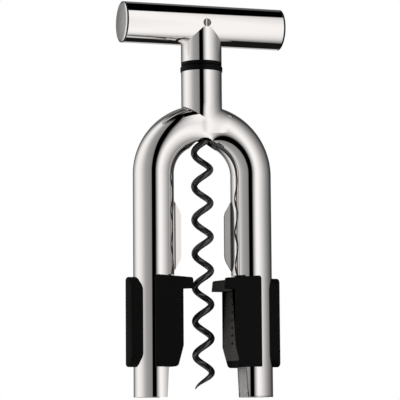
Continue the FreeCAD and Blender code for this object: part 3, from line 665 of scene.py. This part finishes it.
class CORKSCREW_OT_arch(bpy.types.Operator):
    """Bend the tube frame, cut its windows and feet, and polish it"""
    bl_idname = "corkscrew.arch"
    bl_label = "Bent tube frame"

    def execute(self, context):
        sizes = settings("tube")
        piece = fresh("polished_arch", bpy.ops.mesh.primitive_circle_add, vertices=sizes.around,
                      radius=sizes.radius, location=(-sizes.leg_offset, 0, 0))
        edit(piece)
        self.draw_leg(sizes.leg_height)
        bpy.ops.mesh.spin(steps=sizes.bend_steps, angle=math.pi, center=(0, 0, sizes.leg_height),
                          axis=(0, -1, 0))
        self.draw_leg(-sizes.leg_height)
        leave()
        clean(piece)
        applied(piece, "SOLIDIFY", thickness=sizes.wall, offset=-1.0)
        combine(piece, self.cutters(sizes))
        shade(coat(piece, "mirror_steel", "inner_wall_painted_reflection", "recess_shade_steel"))
        true_normals(piece, from_bent_axis, blend=arch_at_weld)
        # The walls of the crown's hole get the dark third finish: painted shade inside the hole
        hole = sizes.crown_hole + 0.1 * MM
        repaint(piece, 2, lambda face: math.hypot(face.center.x, face.center.y) < hole)
        mount(piece, "frame", "polished_steel", "frame_arch")
        return {"FINISHED"}

    def draw_leg(self, height):
        """The open ring is drawn up or down in short steps, which keep the polish even."""
        rings = 40
        for _ in range(rings):
            bpy.ops.mesh.extrude_region_move(
                TRANSFORM_OT_translate={"value": (0, 0, height / rings)})

    def cutters(self, sizes):
        """Crown hole, pad windows and the cut-away inner sides of the legs."""
        jaw = settings("jaw")
        leg, gap = sizes.leg_offset, 0.25 * MM
        outside = sizes.radius + MM
        foot_high, cut, foot_cut = 14 * MM, 4.7 * MM, 3.9 * MM
        yield cylinder("crown_hole", sizes.crown_hole, (0, 0, sizes.leg_height),
                       (0, 0, sizes.leg_height + 2 * leg))
        for side in SIDES.values():
            yield obround("window", jaw.pad_half_width + gap, PAD_LOW.z - gap, PAD_HIGH.z + gap,
                          side * (leg + 2 * MM), side * (leg + outside + MM))
            opening = block("opening", (-leg, -outside, -MM),
                            (-leg + outside, outside, JAW_HIGH.z + gap))
            slice_off(opening, (-leg + cut, 0, foot_high), (-1, 0, 0))
            foot = block("foot_opening", (-leg, -outside, -MM),
                         (-leg + outside, outside, foot_high))
            slice_off(foot, (-leg + foot_cut, 0, 0), (-foot_high, 0, cut - foot_cut))
            combine(opening, [foot], "UNION")
            if side > 0:
                turn_about_z(opening, math.pi)
            yield opening


class CORKSCREW_OT_neck(bpy.types.Operator):
    """Set the neck tube on the crown of the bend"""
    bl_idname = "corkscrew.neck"
    bl_label = "Neck tube"

    def execute(self, context):
        sizes = settings("tube")
        low, fine = sizes.leg_height + sizes.leg_offset - MM, 0.3 * MM
        weld_steps, steps = 40, 9
        heights = [low + fine * step for step in range(weld_steps)]
        rise = (NECK_HIGH.z - heights[-1]) / steps
        heights += [heights[-1] + rise * step for step in range(1, steps + 1)]
        piece = tube("polished_neck", sizes.radius, heights)
        saddle = fresh("saddle", bpy.ops.mesh.primitive_torus_add, major_segments=192,
                       minor_segments=96, major_radius=sizes.leg_offset,
                       minor_radius=sizes.radius - sizes.weld_depth,
                       location=(0, 0, sizes.leg_height), rotation=(math.pi / 2, 0, 0))
        combine(piece, [saddle])
        shade(coat(piece, "mirror_steel", "inner_wall_painted_reflection"))
        true_normals(piece, from_upright_axis, blend=neck_at_weld)
        mount(piece, "frame", "polished_steel", "frame_neck")
        return {"FINISHED"}


class CORKSCREW_OT_fins(bpy.types.Operator):
    """Shape the two blades that hold the drawn cork"""
    bl_idname = "corkscrew.fins"
    bl_label = "Cork fins"

    def execute(self, context):
        jaw = settings("jaw")
        root = FIN_HIGH.x + 0.6 * MM
        piece = block("right_fin", (FIN_LOW.x, FIN_LOW.y, FIN_LOW.z - MM),
                      (root, FIN_HIGH.y, FIN_HIGH.z + MM))
        rise = jaw.fin_slope / jaw.fin_run * (FIN_HIGH.x - FIN_LOW.x)
        for end, up in ((FIN_HIGH.z, 1), (FIN_LOW.z, -1)):
            slice_off(piece, (FIN_HIGH.x, 0, end), (-jaw.fin_slope, 0, up * jaw.fin_run))
            soften(piece, (FIN_LOW.x, end - up * rise), jaw.fin_corner)
        round_edges(piece, 0.3 * MM, 3, 25.0)
        edit(piece)
        # A strip at the fin's root gets the dark finish: painted shade where the fin meets the leg
        bead = FIN_HIGH.x - jaw.fin_root_shade
        bpy.ops.mesh.bisect(plane_co=(bead, 0, 0), plane_no=(1, 0, 0), threshold=HAIR)
        leave()
        shade(coat(piece, "mirror_steel", "recess_shade_steel", "fin_steel"))
        repaint(piece, 1, lambda face: face.center.x > bead)
        mount(mirrored(piece, "left_fin"), "frame", "polished_steel", "left_cork_fin")
        # The right fin's front face gets the darker colour, a painted reflection; the left fin
        # keeps the mirror finish
        repaint(piece, 2, lambda face: face.normal.y < -0.98 and face.center.x < bead)
        mount(piece, "frame", "polished_steel", "right_cork_fin")
        return {"FINISHED"}


class CORKSCREW_OT_rings(bpy.types.Operator):
    """Turn the black bushing and the washer above it"""
    bl_idname = "corkscrew.rings"
    bl_label = "Neck rings"

    def execute(self, context):
        sizes = settings("tube")
        bore, flange, rim = 5.2 * MM, 9.3 * MM, 8.95 * MM
        sleeve = sizes.radius - sizes.wall - PLAY
        low, high = NECK_HIGH.z, FLANGE_HIGH.z
        foot = low - 14 * MM
        bushing = lathe("black_bushing", [(bore, foot), (sleeve, foot), (sleeve, low),
                                          (flange, low), (flange, high), (bore, high),
                                          (bore, foot)])
        round_edges(bushing, 0.45 * MM, 5)
        mount(shade(bushing), "frame", "black_plastic", "neck_bushing", "ring_plastic")
        groove, seat, top = rim - 0.6 * MM, high + 0.4 * MM, WASHER_HIGH.z - SPIGOT
        washer = lathe("black_washer", [(bore, high), (groove, high), (groove, seat), (rim, seat),
                                        (rim, top), (sleeve, top), (sleeve, WASHER_HIGH.z),
                                        (bore, WASHER_HIGH.z), (bore, high)])
        round_edges(washer, 0.12 * MM, 3)
        mount(shade(washer), "glide", "black_plastic", "glide_washer", "ring_plastic")
        return {"FINISHED"}


class CORKSCREW_OT_handle(bpy.types.Operator):
    """Build the cross bar, its stub and its two caps"""
    bl_idname = "corkscrew.handle"
    bl_label = "Cross handle"

    def execute(self, context):
        sizes = settings("tube")
        self.bar(sizes)
        self.stub(sizes)
        self.caps(sizes)
        return {"FINISHED"}

    def screw_hole(self):
        middle, _, front = bar_lines()
        radius, start, end = 1.78 * MM, 3 * MM, 12 * MM
        return cylinder("screw_hole", radius, middle + front * start, middle + front * end, 48)

    def bar(self, sizes):
        half = sizes.bar_half_length - CAP_RIM
        steps = 30
        piece = tube("polished_bar", sizes.bar_radius,
                     [half - 2 * half * step / steps for step in range(steps + 1)])
        round_edges(piece, 0.12 * MM, 2, 60.0)
        lay_in_bar(piece, math.pi / 2, "Y")
        combine(piece, [self.screw_hole()])
        coat(shade(piece), "mirror_steel")
        true_normals(piece, from_bar_axis, 0.97)
        mount(piece, "spindle", "polished_steel", "handle_bar")

    def stub(self, sizes):
        low, high = WASHER_HIGH.z - SPIGOT, sizes.bar_height
        steps = 14
        piece = tube("polished_stub", sizes.radius,
                     [low + (high - low) * step / steps for step in range(steps + 1)])
        middle, along, _ = bar_lines()
        reach = along * 12 * MM
        saddle = cylinder("bar_space", sizes.bar_radius - sizes.weld_depth, middle - reach,
                          middle + reach, 128)
        combine(piece, [saddle, self.screw_hole()])
        coat(shade(piece), "mirror_steel")
        true_normals(piece, from_upright_axis)
        mount(piece, "spindle", "polished_steel", "handle_stub")

    def caps(self, sizes):
        """Plugs whose polished rims curve into slightly domed satin discs."""
        rim, seat = sizes.bar_radius, sizes.bar_half_length - CAP_RIM
        plug, plug_foot = rim - sizes.wall - PLAY, seat - 4 * MM
        disc, tip = sizes.bar_half_length + 0.3 * MM, sizes.bar_half_length + 0.75 * MM
        groove, low, wide = rim - 0.4 * MM, seat + 0.55 * MM, 1.9 * MM
        profile = [(0.3 * MM, plug_foot), (plug, plug_foot), (plug, seat), (groove, seat),
                   (groove, low)]
        for step in range(11):
            angle = math.pi / 2 * step / 10
            profile.append((rim - wide * (1 - math.cos(angle)),
                            low + (disc - low) * math.sin(angle)))
        profile += [((rim - wide) * part, disc + (tip - disc) * (1 - part ** 2))
                    for part in (0.8, 0.55, 0.3, 0.03)]
        for name, side in reversed(SIDES.items()):
            cap = lathe(name + "_disc", profile, 128, solid=True)
            lay_in_bar(cap, side * math.pi / 2, "Y")
            shade(coat(cap, "cap_steel", "mirror_steel", "recess_shade_steel"), 40.0)
            self.polish_rim(cap, sizes)
            mount(cap, "spindle", "satin_steel", name + "_end_cap")

    def polish_rim(self, cap, sizes):
        """The disc keeps the satin finish, its rim is polished and the groove below gets painted
        shade.
        """
        along = bar_lines()[1]
        outside = sizes.bar_half_length - 0.2 * MM
        for face in cap.data.polygons:
            flat = abs(face.normal.dot(along)) > 0.985
            rim = abs(face.center.dot(along)) > outside
            face.material_index = 0 if flat and rim else 1 if rim else 2


class CORKSCREW_OT_screw(bpy.types.Operator):
    """Turn the slotted screw in the front of the bar"""
    bl_idname = "corkscrew.screw"
    bl_label = "Handle screw"

    def execute(self, context):
        sizes = settings("tube")
        thread, head, thin = 1.4 * MM, 1.7 * MM, 0.2 * MM
        foot, top = -3.6 * MM, sizes.bar_radius - 0.2 * MM
        piece = lathe("slotted_screw", [
            (thin, foot), (thread, foot), (thread, top - thread), (head, top - thread),
            (head, top), (1.2 * MM, top + 0.1 * MM), (thin, top + 0.14 * MM)], 64, solid=True)
        slot = block("slot", (-0.36 * MM, -3 * MM, top - 0.55 * MM),
                     (0.36 * MM, 3 * MM, top + MM))
        combine(piece, [slot])
        round_edges(piece, 0.08 * MM, 2, 40.0)
        lay_in_bar(piece, math.pi / 2, "X")
        shade(coat(piece, "screw_steel", "mirror_steel"))
        middle, _, front = bar_lines()
        floor = sizes.bar_radius - 0.5 * MM
        repaint(piece, 1, lambda face: face.normal.dot(front) > 0.9
                and (face.center - middle).dot(front) < floor)
        mount(piece, "spindle", "plain_steel", "handle_screw")
        return {"FINISHED"}


class CORKSCREW_OT_worm(bpy.types.Operator):
    """Wind the coated worm with its tapered point and its shank"""
    bl_idname = "corkscrew.worm"
    bl_label = "Worm"

    def execute(self, context):
        sizes = settings("worm")
        bpy.ops.object.select_all(action="DESELECT")
        bpy.ops.curve.primitive_nurbs_path_add(location=(0, 0, 0))
        coil = bpy.context.object
        curve = coil.data
        curve.splines.clear()
        spline = curve.splines.new("POLY")
        spline.points.add(round(sizes.turns * sizes.steps))
        thin = sizes.tip_radius / sizes.wire_radius
        for step, point in enumerate(spline.points):
            turns = step / sizes.steps
            angle = sizes.tip_angle + 2 * math.pi * turns
            point.co = (sizes.coil_radius * math.cos(angle), sizes.coil_radius * math.sin(angle),
                        sizes.start + sizes.pitch * turns, 1)
            grown = min(1.0, turns / sizes.tip_turns)
            point.radius = thin + (1 - thin) * grown ** 0.85
        curve.dimensions = "3D"
        curve.bevel_depth = sizes.wire_radius
        curve.bevel_resolution = 7
        curve.use_fill_caps = True
        curve.twist_mode = "MINIMUM"
        choose(coil)
        bpy.ops.object.convert(target="MESH")
        piece = clean(settled("coated_worm"))
        wide, stud, thin = 4.97 * MM, 2.5 * MM, 0.3 * MM
        foot = sizes.start + sizes.pitch * sizes.turns - 2.5 * MM
        shank = lathe("shank", [
            (thin, foot), (4.6 * MM, foot), (wide, foot + 0.4 * MM), (wide, HUB_LOW.z),
            (stud, HUB_LOW.z), (stud, WORM_HIGH.z), (thin, WORM_HIGH.z)], 64, solid=True)
        combine(piece, [shank], "UNION")
        mount(shade(piece, 40.0), "spindle", "black_coating", "worm", "worm_coating")
        return {"FINISHED"}


def liner_blank(name, radius, low, high, start, half_width, around):
    """Round filling of the pocket, cut to the liner's width."""
    centre = settings("jaw").grip_centre
    blank = cylinder(name, radius, (centre, 0, low), (centre, 0, high), around)
    limit = block("limit", (start, -half_width, 0), (20 * MM, half_width, 60 * MM))
    return combine(blank, [limit], "INTERSECT")


class CORKSCREW_OT_jaws(bpy.types.Operator):
    """Mould the two black jaws"""
    bl_idname = "corkscrew.jaws"
    bl_label = "Jaws"

    def execute(self, context):
        jaw = settings("jaw")
        low, high = JAW_LOW.z, JAW_HIGH.z
        lip, end = jaw.lip_distance, jaw.plate_end
        deep = jaw.lip_half_depth
        tip, tip_top = JAW_LOW.x, high - jaw.top_fall
        lean = jaw.tip_slant
        slope = (-jaw.top_fall, 0, end - tip - lean)
        foot_round, end_round, tip_round = 1.2 * MM, 1.3 * MM, 0.7 * MM
        core_start, core_low, far = 16.5 * MM, low + 0.5 * MM, 100 * MM
        piece = block("right_grip", (lip, -deep, low), (end, deep, high))
        slice_off(piece, (lip + jaw.taper_inset, 0, low), (-jaw.taper_height, 0, -jaw.taper_inset))
        collar = block("collar", (tip, -deep, jaw.collar_low), (lip + 2 * MM, deep, high))
        slice_off(collar, (tip, 0, jaw.collar_low), (jaw.collar_low - tip_top, 0, lean))
        combine(piece, [collar], "UNION")
        slice_off(piece, (end, 0, high), slope)
        inward = deep - jaw.plate_half_depth
        for side in (-1, 1):
            slice_off(piece, (lip, side * deep, 0), (inward, side * (end - lip), 0))
            slice_off(piece, (tip, side * jaw.collar_half_depth, 0),
                      (jaw.collar_half_depth - deep, side * (lip - tip), 0))
        soften(piece, (lip + jaw.taper_inset, low), foot_round)
        soften(piece, (end, high), end_round)
        soften(piece, (tip + lean, tip_top), tip_round)
        combine(piece, [self.leg_room(jaw)])
        core = block("core", (core_start, -jaw.core_half_width, core_low),
                     (PAD_LOW.x, jaw.core_half_width, high - jaw.top_fall))
        combine(piece, [core], "UNION")
        centre = jaw.grip_centre
        combine(piece, [
            cylinder("pocket", jaw.grip_radius, (centre, 0, 0), (centre, 0, jaw.collar_low), 160),
            cylinder("passage", jaw.passage_radius, (centre, 0, MM), (centre, 0, far), 160),
            self.liner_room(jaw)])
        clean(piece)
        round_edges(piece, jaw.edge_round, 3, 40.0)
        shade(coat(piece, "jaw_plastic", "black_edge", "passage_plastic"))
        repaint(piece, 1, lambda face: min(abs(face.normal.x), abs(face.normal.y)) > 0.25
                and (face.center.x > end - MM or abs(face.center.y) > jaw.liner_half_width))
        repaint(piece, 2, lambda face: face.center.z > jaw.collar_low and abs(
            math.hypot(face.center.x - centre, face.center.y) - jaw.passage_radius) < 0.3 * MM)
        mount_pair(piece, "black_plastic", "jaw")
        return {"FINISHED"}

    def leg_room(self, jaw):
        """Room for the leg, which leaves the jaw's web inside the tube."""
        sizes = settings("tube")
        leg, web_end = sizes.leg_offset, 4.95 * MM
        radius, top = sizes.radius + jaw.leg_clearance, JAW_HIGH.z + 10 * MM
        room = cylinder("leg_room", radius, (leg, 0, 0), (leg, 0, top), 160)
        past_axis = block("past_axis", (leg, -radius, 0), (leg + 20 * MM, radius, top))
        combine(room, [past_axis], "UNION")
        slice_off(room, (leg - web_end, 0, 0), (-1, 0, 0))
        return room

    def liner_room(self, jaw):
        return liner_blank("liner_room", jaw.grip_radius + jaw.liner_thickness,
                           LINER_LOW.z, jaw.collar_low, jaw.lip_distance - MM,
                           jaw.liner_half_width + PLAY, 160)


class CORKSCREW_OT_liners(bpy.types.Operator):
    """Press the dimpled soft liners"""
    bl_idname = "corkscrew.liners"
    bl_label = "Soft liners"

    def execute(self, context):
        jaw = settings("jaw")
        low, high = LINER_LOW.z, LINER_HIGH.z
        centre, tall, around = jaw.grip_centre, 60 * MM, 192
        start, end, half = jaw.lip_distance, 17.5 * MM, 1.3 * MM
        piece = liner_blank("right_liner", jaw.grip_radius + jaw.liner_thickness - 0.02 * MM,
                            low, high, start, jaw.liner_half_width, around)
        face = cylinder("face", jaw.grip_radius, (centre, 0, 0), (centre, 0, tall), around)
        combine(piece, [face])
        slice_off(piece, (start + jaw.taper_inset, 0, JAW_LOW.z),
                  (-jaw.taper_height, 0, -jaw.taper_inset))
        count, pitch = 7, 3.43 * MM
        middle = (low + high) / 2 + jaw.dimple_rise
        heights = [middle + (i - (count - 1) / 2) * pitch for i in range(count)]
        groove_floor = cylinder("groove_floor", jaw.grip_radius + 0.4 * MM, (centre, 0, 0),
                                (centre, 0, tall), around)
        groove = block("groove", (start, -half, low + 3 * MM), (end, half, high - 3 * MM))
        combine(groove, self.rows("scallop", 1.1 * MM, half, heights, start, end, 24), "UNION")
        combine(groove, [groove_floor], "INTERSECT")
        combine(piece, [groove])
        combine(piece, self.rows("dimple", 0.75 * MM, 6.3 * MM, heights, start, end, 20))
        mount_pair(shade(clean(piece)), "soft_liner", "grip_insert", "liner_rubber")
        return {"FINISHED"}

    def rows(self, name, radius, aside, heights, start, end, around):
        """Two rows of round cutters along X, one on each side of the middle."""
        return [cylinder(name, radius, (start, side * aside, height),
                         (end, side * aside, height), around)
                for side in SIDES.values() for height in heights]


class CORKSCREW_OT_pads(bpy.types.Operator):
    """Mould the two press pads"""
    bl_idname = "corkscrew.pads"
    bl_label = "Press pads"

    def execute(self, context):
        jaw = settings("jaw")
        leg = settings("tube").leg_offset
        face = leg + jaw.pad_radius
        piece = obround("right_pad", jaw.pad_half_width, PAD_LOW.z, PAD_HIGH.z, PAD_LOW.x, face)
        edit(piece)
        pick("EDGE", lambda edge: all(v.co.x > face - 0.1 * MM for v in edge.verts))
        bpy.ops.mesh.bevel(offset=jaw.pad_round, segments=6, affect="EDGES")
        for step in range(-5, 6):
            bpy.ops.mesh.select_all(action="SELECT")
            bpy.ops.mesh.bisect(plane_co=(0, step * MM, 0), plane_no=(0, 1, 0),
                                threshold=HAIR)
        start = leg + 0.5 * jaw.pad_radius
        levels = {round(vertex.co.y / MM, 2)
                  for vertex in bmesh.from_edit_mesh(piece.data).verts if vertex.co.x > start}
        for level in levels:
            pick("VERT", lambda vertex: vertex.co.x > start
                 and abs(vertex.co.y / MM - level) < 0.006)
            sag = jaw.pad_radius - math.sqrt(jaw.pad_radius ** 2 - (level * MM) ** 2)
            bpy.ops.transform.translate(value=(-sag, 0, 0))
        leave()
        mount_pair(shade(piece, 40.0), "black_plastic", "press_pad", "jaw_plastic")
        return {"FINISHED"}


class CORKSCREW_OT_inner_parts(bpy.types.Operator):
    """Give the pins, screws, springs and the hub their finish"""
    bl_idname = "corkscrew.inner_parts"
    bl_label = "Inner parts"

    def execute(self, context):
        for name in ("guide_pins", "left_pad_screws", "right_pad_screws", "left_return_springs",
                     "right_return_springs", "spindle_hub"):
            coat(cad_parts[name], "turned_steel")
        return {"FINISHED"}


# Stage

# Brightness around the light tent by heading in degrees from the front, right positive
TENT_PANELS = (
    (-180, 0.17), (-170, 0.17), (-161, 0.06), (-150, 0.32), (-135, 0.62), (-123, 0.86),
    (-106, 0.965), (-93, 0.87), (-81, 0.72), (-69, 0.51), (-57, 0.365), (-45, 0.32),
    (-33, 0.28), (-26.2, 0.24), (-24.4, 0.0), (-4.6, 0.0), (-3, 0.09), (3, 0.43), (9, 0.67),
    (15, 0.93), (21, 1.0), (27, 0.99), (36, 0.87), (51, 0.655), (69, 0.405), (84, 0.27),
    (99, 0.175), (111, 0.095), (128, 0.02), (142, 0.1), (160, 0.17), (180, 0.17))


class CORKSCREW_OT_stage(bpy.types.Operator):
    """Lay the floor, hang the light tent and place the camera"""
    bl_idname = "corkscrew.stage"
    bl_label = "Stage"

    def execute(self, context):
        stage = settings("stage")
        self.floor(stage)
        self.dark_card()
        self.tent(stage)
        self.world(stage)
        self.camera(stage)
        context.scene.view_settings.view_transform = "Standard"
        return {"FINISHED"}

    def floor(self, stage):
        """Pale floor that shows only from above, and not in the steel."""
        floor = fresh("floor", bpy.ops.mesh.primitive_plane_add, size=6.0, location=(0, 0, 0))
        material = bpy.data.materials.new("pale_floor")
        material.use_nodes = True
        nodes = material.node_tree.nodes
        shader = nodes["Principled BSDF"]
        shader.inputs["Base Color"].default_value = (*stage.floor_colour, 1.0)
        shader.inputs["Roughness"].default_value = 0.9
        shader.inputs["Specular IOR Level"].default_value = 0.0
        clear = nodes.new("ShaderNodeBsdfTransparent")
        mix = nodes.new("ShaderNodeMixShader")
        side = nodes.new("ShaderNodeNewGeometry")
        wire(material.node_tree.links, (side, "Backfacing", mix, "Fac"), (shader, "BSDF", mix, 1),
             (clear, "BSDF", mix, 2), (mix, "Shader", nodes["Material Output"], "Surface"))
        floor.data.materials.append(material)
        floor.visible_glossy = False

    def glow(self, thing, level):
        """Plain light on a thing that is seen only in reflections."""
        material = bpy.data.materials.new(thing.name)
        material.use_nodes = True
        nodes = material.node_tree.nodes
        nodes.remove(nodes["Principled BSDF"])
        light = new_node(nodes, "ShaderNodeEmission", color=(1.0, 0.985, 0.978, 1.0),
                         strength=level)
        wire(material.node_tree.links, (light, "Emission", nodes["Material Output"], "Surface"))
        thing.data.materials.append(material)
        for ray in ("camera", "diffuse", "transmission", "volume_scatter", "shadow"):
            setattr(thing, "visible_" + ray, False)
        return nodes, light

    def dark_card(self):
        """Dark card on the floor, which blackens the foot of the handle's reflection."""
        card = fresh("dark_card", bpy.ops.mesh.primitive_plane_add, size=0.25,
                     location=(0.1, 0.134, 0.0004), rotation=(0, 0, math.radians(15)))
        self.glow(card, 0.01)

    def tent(self, stage):
        """Round light tent with a slit towards the camera."""
        tent = fresh("light_tent", bpy.ops.mesh.primitive_uv_sphere_add, segments=96,
                     ring_count=48, radius=1.0, location=(0, 0, 0))
        tent.scale = (stage.tent_radius,) * 3
        tent.location = (0, 0, 90 * MM)
        nodes, light = self.glow(tent, 1.0)
        links = light.id_data.links
        place = nodes.new("ShaderNodeTexCoord")
        split = nodes.new("ShaderNodeSeparateXYZ")
        ramp = nodes.new("ShaderNodeValToRGB")
        wire(links, (place, "Object", split, "Vector"))
        x, y, z = split.outputs

        def calc(operation, *values):
            return math_node(nodes, operation, *values)

        # Above the object the panels lean over to the left
        above = calc("MAXIMUM", calc("SUBTRACT", z, 0.25), 0.0)
        lean = calc("MULTIPLY", calc("MINIMUM", above, 0.3), -0.25)
        heading = calc("ARCTAN2", calc("SUBTRACT", x, lean), calc("MULTIPLY", y, -1.0))
        part_round = calc("MULTIPLY_ADD", heading, 0.5 / math.pi, 0.5)
        links.new(part_round, ramp.inputs["Fac"])
        self.panels(ramp.color_ramp)
        on_right = calc("GREATER_THAN", part_round, 0.5)
        on_left = calc("SUBTRACT", 1.0, on_right)
        below_top = calc("MAXIMUM", calc("MULTIPLY", on_left, self.fade(nodes, z, 0.86, 0.95)),
                         calc("MULTIPLY", on_right, self.fade(nodes, z, 0.86, 0.89)))
        panels = calc("MULTIPLY", ramp.outputs["Color"],
                      calc("MULTIPLY", below_top, stage.tent_level))
        # A soft panel straight behind the object, as the camera looks
        behind = calc("ADD", calc("MULTIPLY", x, 0.225), calc("MULTIPLY", y, 0.974))
        rear = calc("MULTIPLY", self.fade(nodes, behind, 0.95, 0.9), 0.6)
        links.new(calc("MAXIMUM", panels, rear), light.inputs["Strength"])

    def fade(self, nodes, value, full, none):
        """Share that falls smoothly from one to zero between two values."""
        node = new_node(nodes, "ShaderNodeMapRange", from_min=none, from_max=full)
        node.interpolation_type = "SMOOTHSTEP"
        node.id_data.links.new(value, node.inputs["Value"])
        return node.outputs["Result"]

    def panels(self, ramp):
        while len(ramp.elements) < len(TENT_PANELS):
            ramp.elements.new(1.0)
        for element, (heading, level) in zip(ramp.elements, TENT_PANELS):
            element.position = (heading + 180) / 360
            element.color = (level, level, level, 1.0)

    def world(self, stage):
        world = bpy.data.worlds.new("plain_world")
        bpy.context.scene.world = world
        world.use_nodes = True
        back = world.node_tree.nodes["Background"]
        back.inputs["Color"].default_value = (1.0, 1.0, 1.0, 1.0)
        back.inputs["Strength"].default_value = stage.world_level

    def camera(self, stage):
        bpy.ops.object.camera_add(location=stage.camera_place)
        camera = bpy.context.object
        camera.name = "camera"
        yaw, pitch = stage.camera_yaw, stage.camera_pitch
        forward = Vector((math.sin(yaw) * math.cos(pitch), math.cos(yaw) * math.cos(pitch),
                          math.sin(pitch)))
        right = forward.cross(Vector((0, 0, 1))).normalized()
        level = Matrix((right, right.cross(forward), -forward)).transposed()
        turned = level @ Matrix.Rotation(stage.camera_roll, 3, "Z")
        camera.matrix_world = Matrix.Translation(stage.camera_place) @ turned.to_4x4()
        camera.data.sensor_width = 36.0
        camera.data.lens = stage.camera_lens
        camera.data.clip_start = 0.01
        camera.data.clip_end = 20.0
        bpy.context.scene.camera = camera


class CORKSCREW_PT_panel(bpy.types.Panel):
    """Buttons of the corkscrew's pieces"""
    bl_label = "Corkscrew"
    bl_idname = "CORKSCREW_PT_panel"
    bl_space_type = "VIEW_3D"
    bl_region_type = "UI"
    bl_category = TAB

    def draw(self, context):
        for operator in OPERATORS:
            self.layout.operator(operator.bl_idname)
        for name in GROUPS:
            group = settings(name)
            box = self.layout.box()
            box.label(text=name.capitalize())
            for field in group.__annotations__:
                box.prop(group, field)


GROUPS = {"tube": TubeSizes, "jaw": JawSizes, "worm": WormSizes, "finishes": Finishes,
          "stage": StageSettings}
OPERATORS = (CORKSCREW_OT_arch, CORKSCREW_OT_neck, CORKSCREW_OT_fins, CORKSCREW_OT_rings,
             CORKSCREW_OT_handle, CORKSCREW_OT_screw, CORKSCREW_OT_worm, CORKSCREW_OT_jaws,
             CORKSCREW_OT_liners, CORKSCREW_OT_pads, CORKSCREW_OT_inner_parts,
             CORKSCREW_OT_stage)


def register():
    for name, group in GROUPS.items():
        bpy.utils.register_class(group)
        setattr(bpy.types.Scene, "corkscrew_" + name, PointerProperty(type=group))
    for operator in OPERATORS:
        bpy.utils.register_class(operator)
    bpy.utils.register_class(CORKSCREW_PT_panel)


def unregister():
    bpy.utils.unregister_class(CORKSCREW_PT_panel)
    for operator in reversed(OPERATORS):
        bpy.utils.unregister_class(operator)
    for name, group in GROUPS.items():
        delattr(bpy.types.Scene, "corkscrew_" + name)
        bpy.utils.unregister_class(group)


def main():
    register()
    for operator in OPERATORS:
        getattr(bpy.ops.corkscrew, operator.bl_idname.split(".")[1])()


if __name__ == "__main__":
    main()
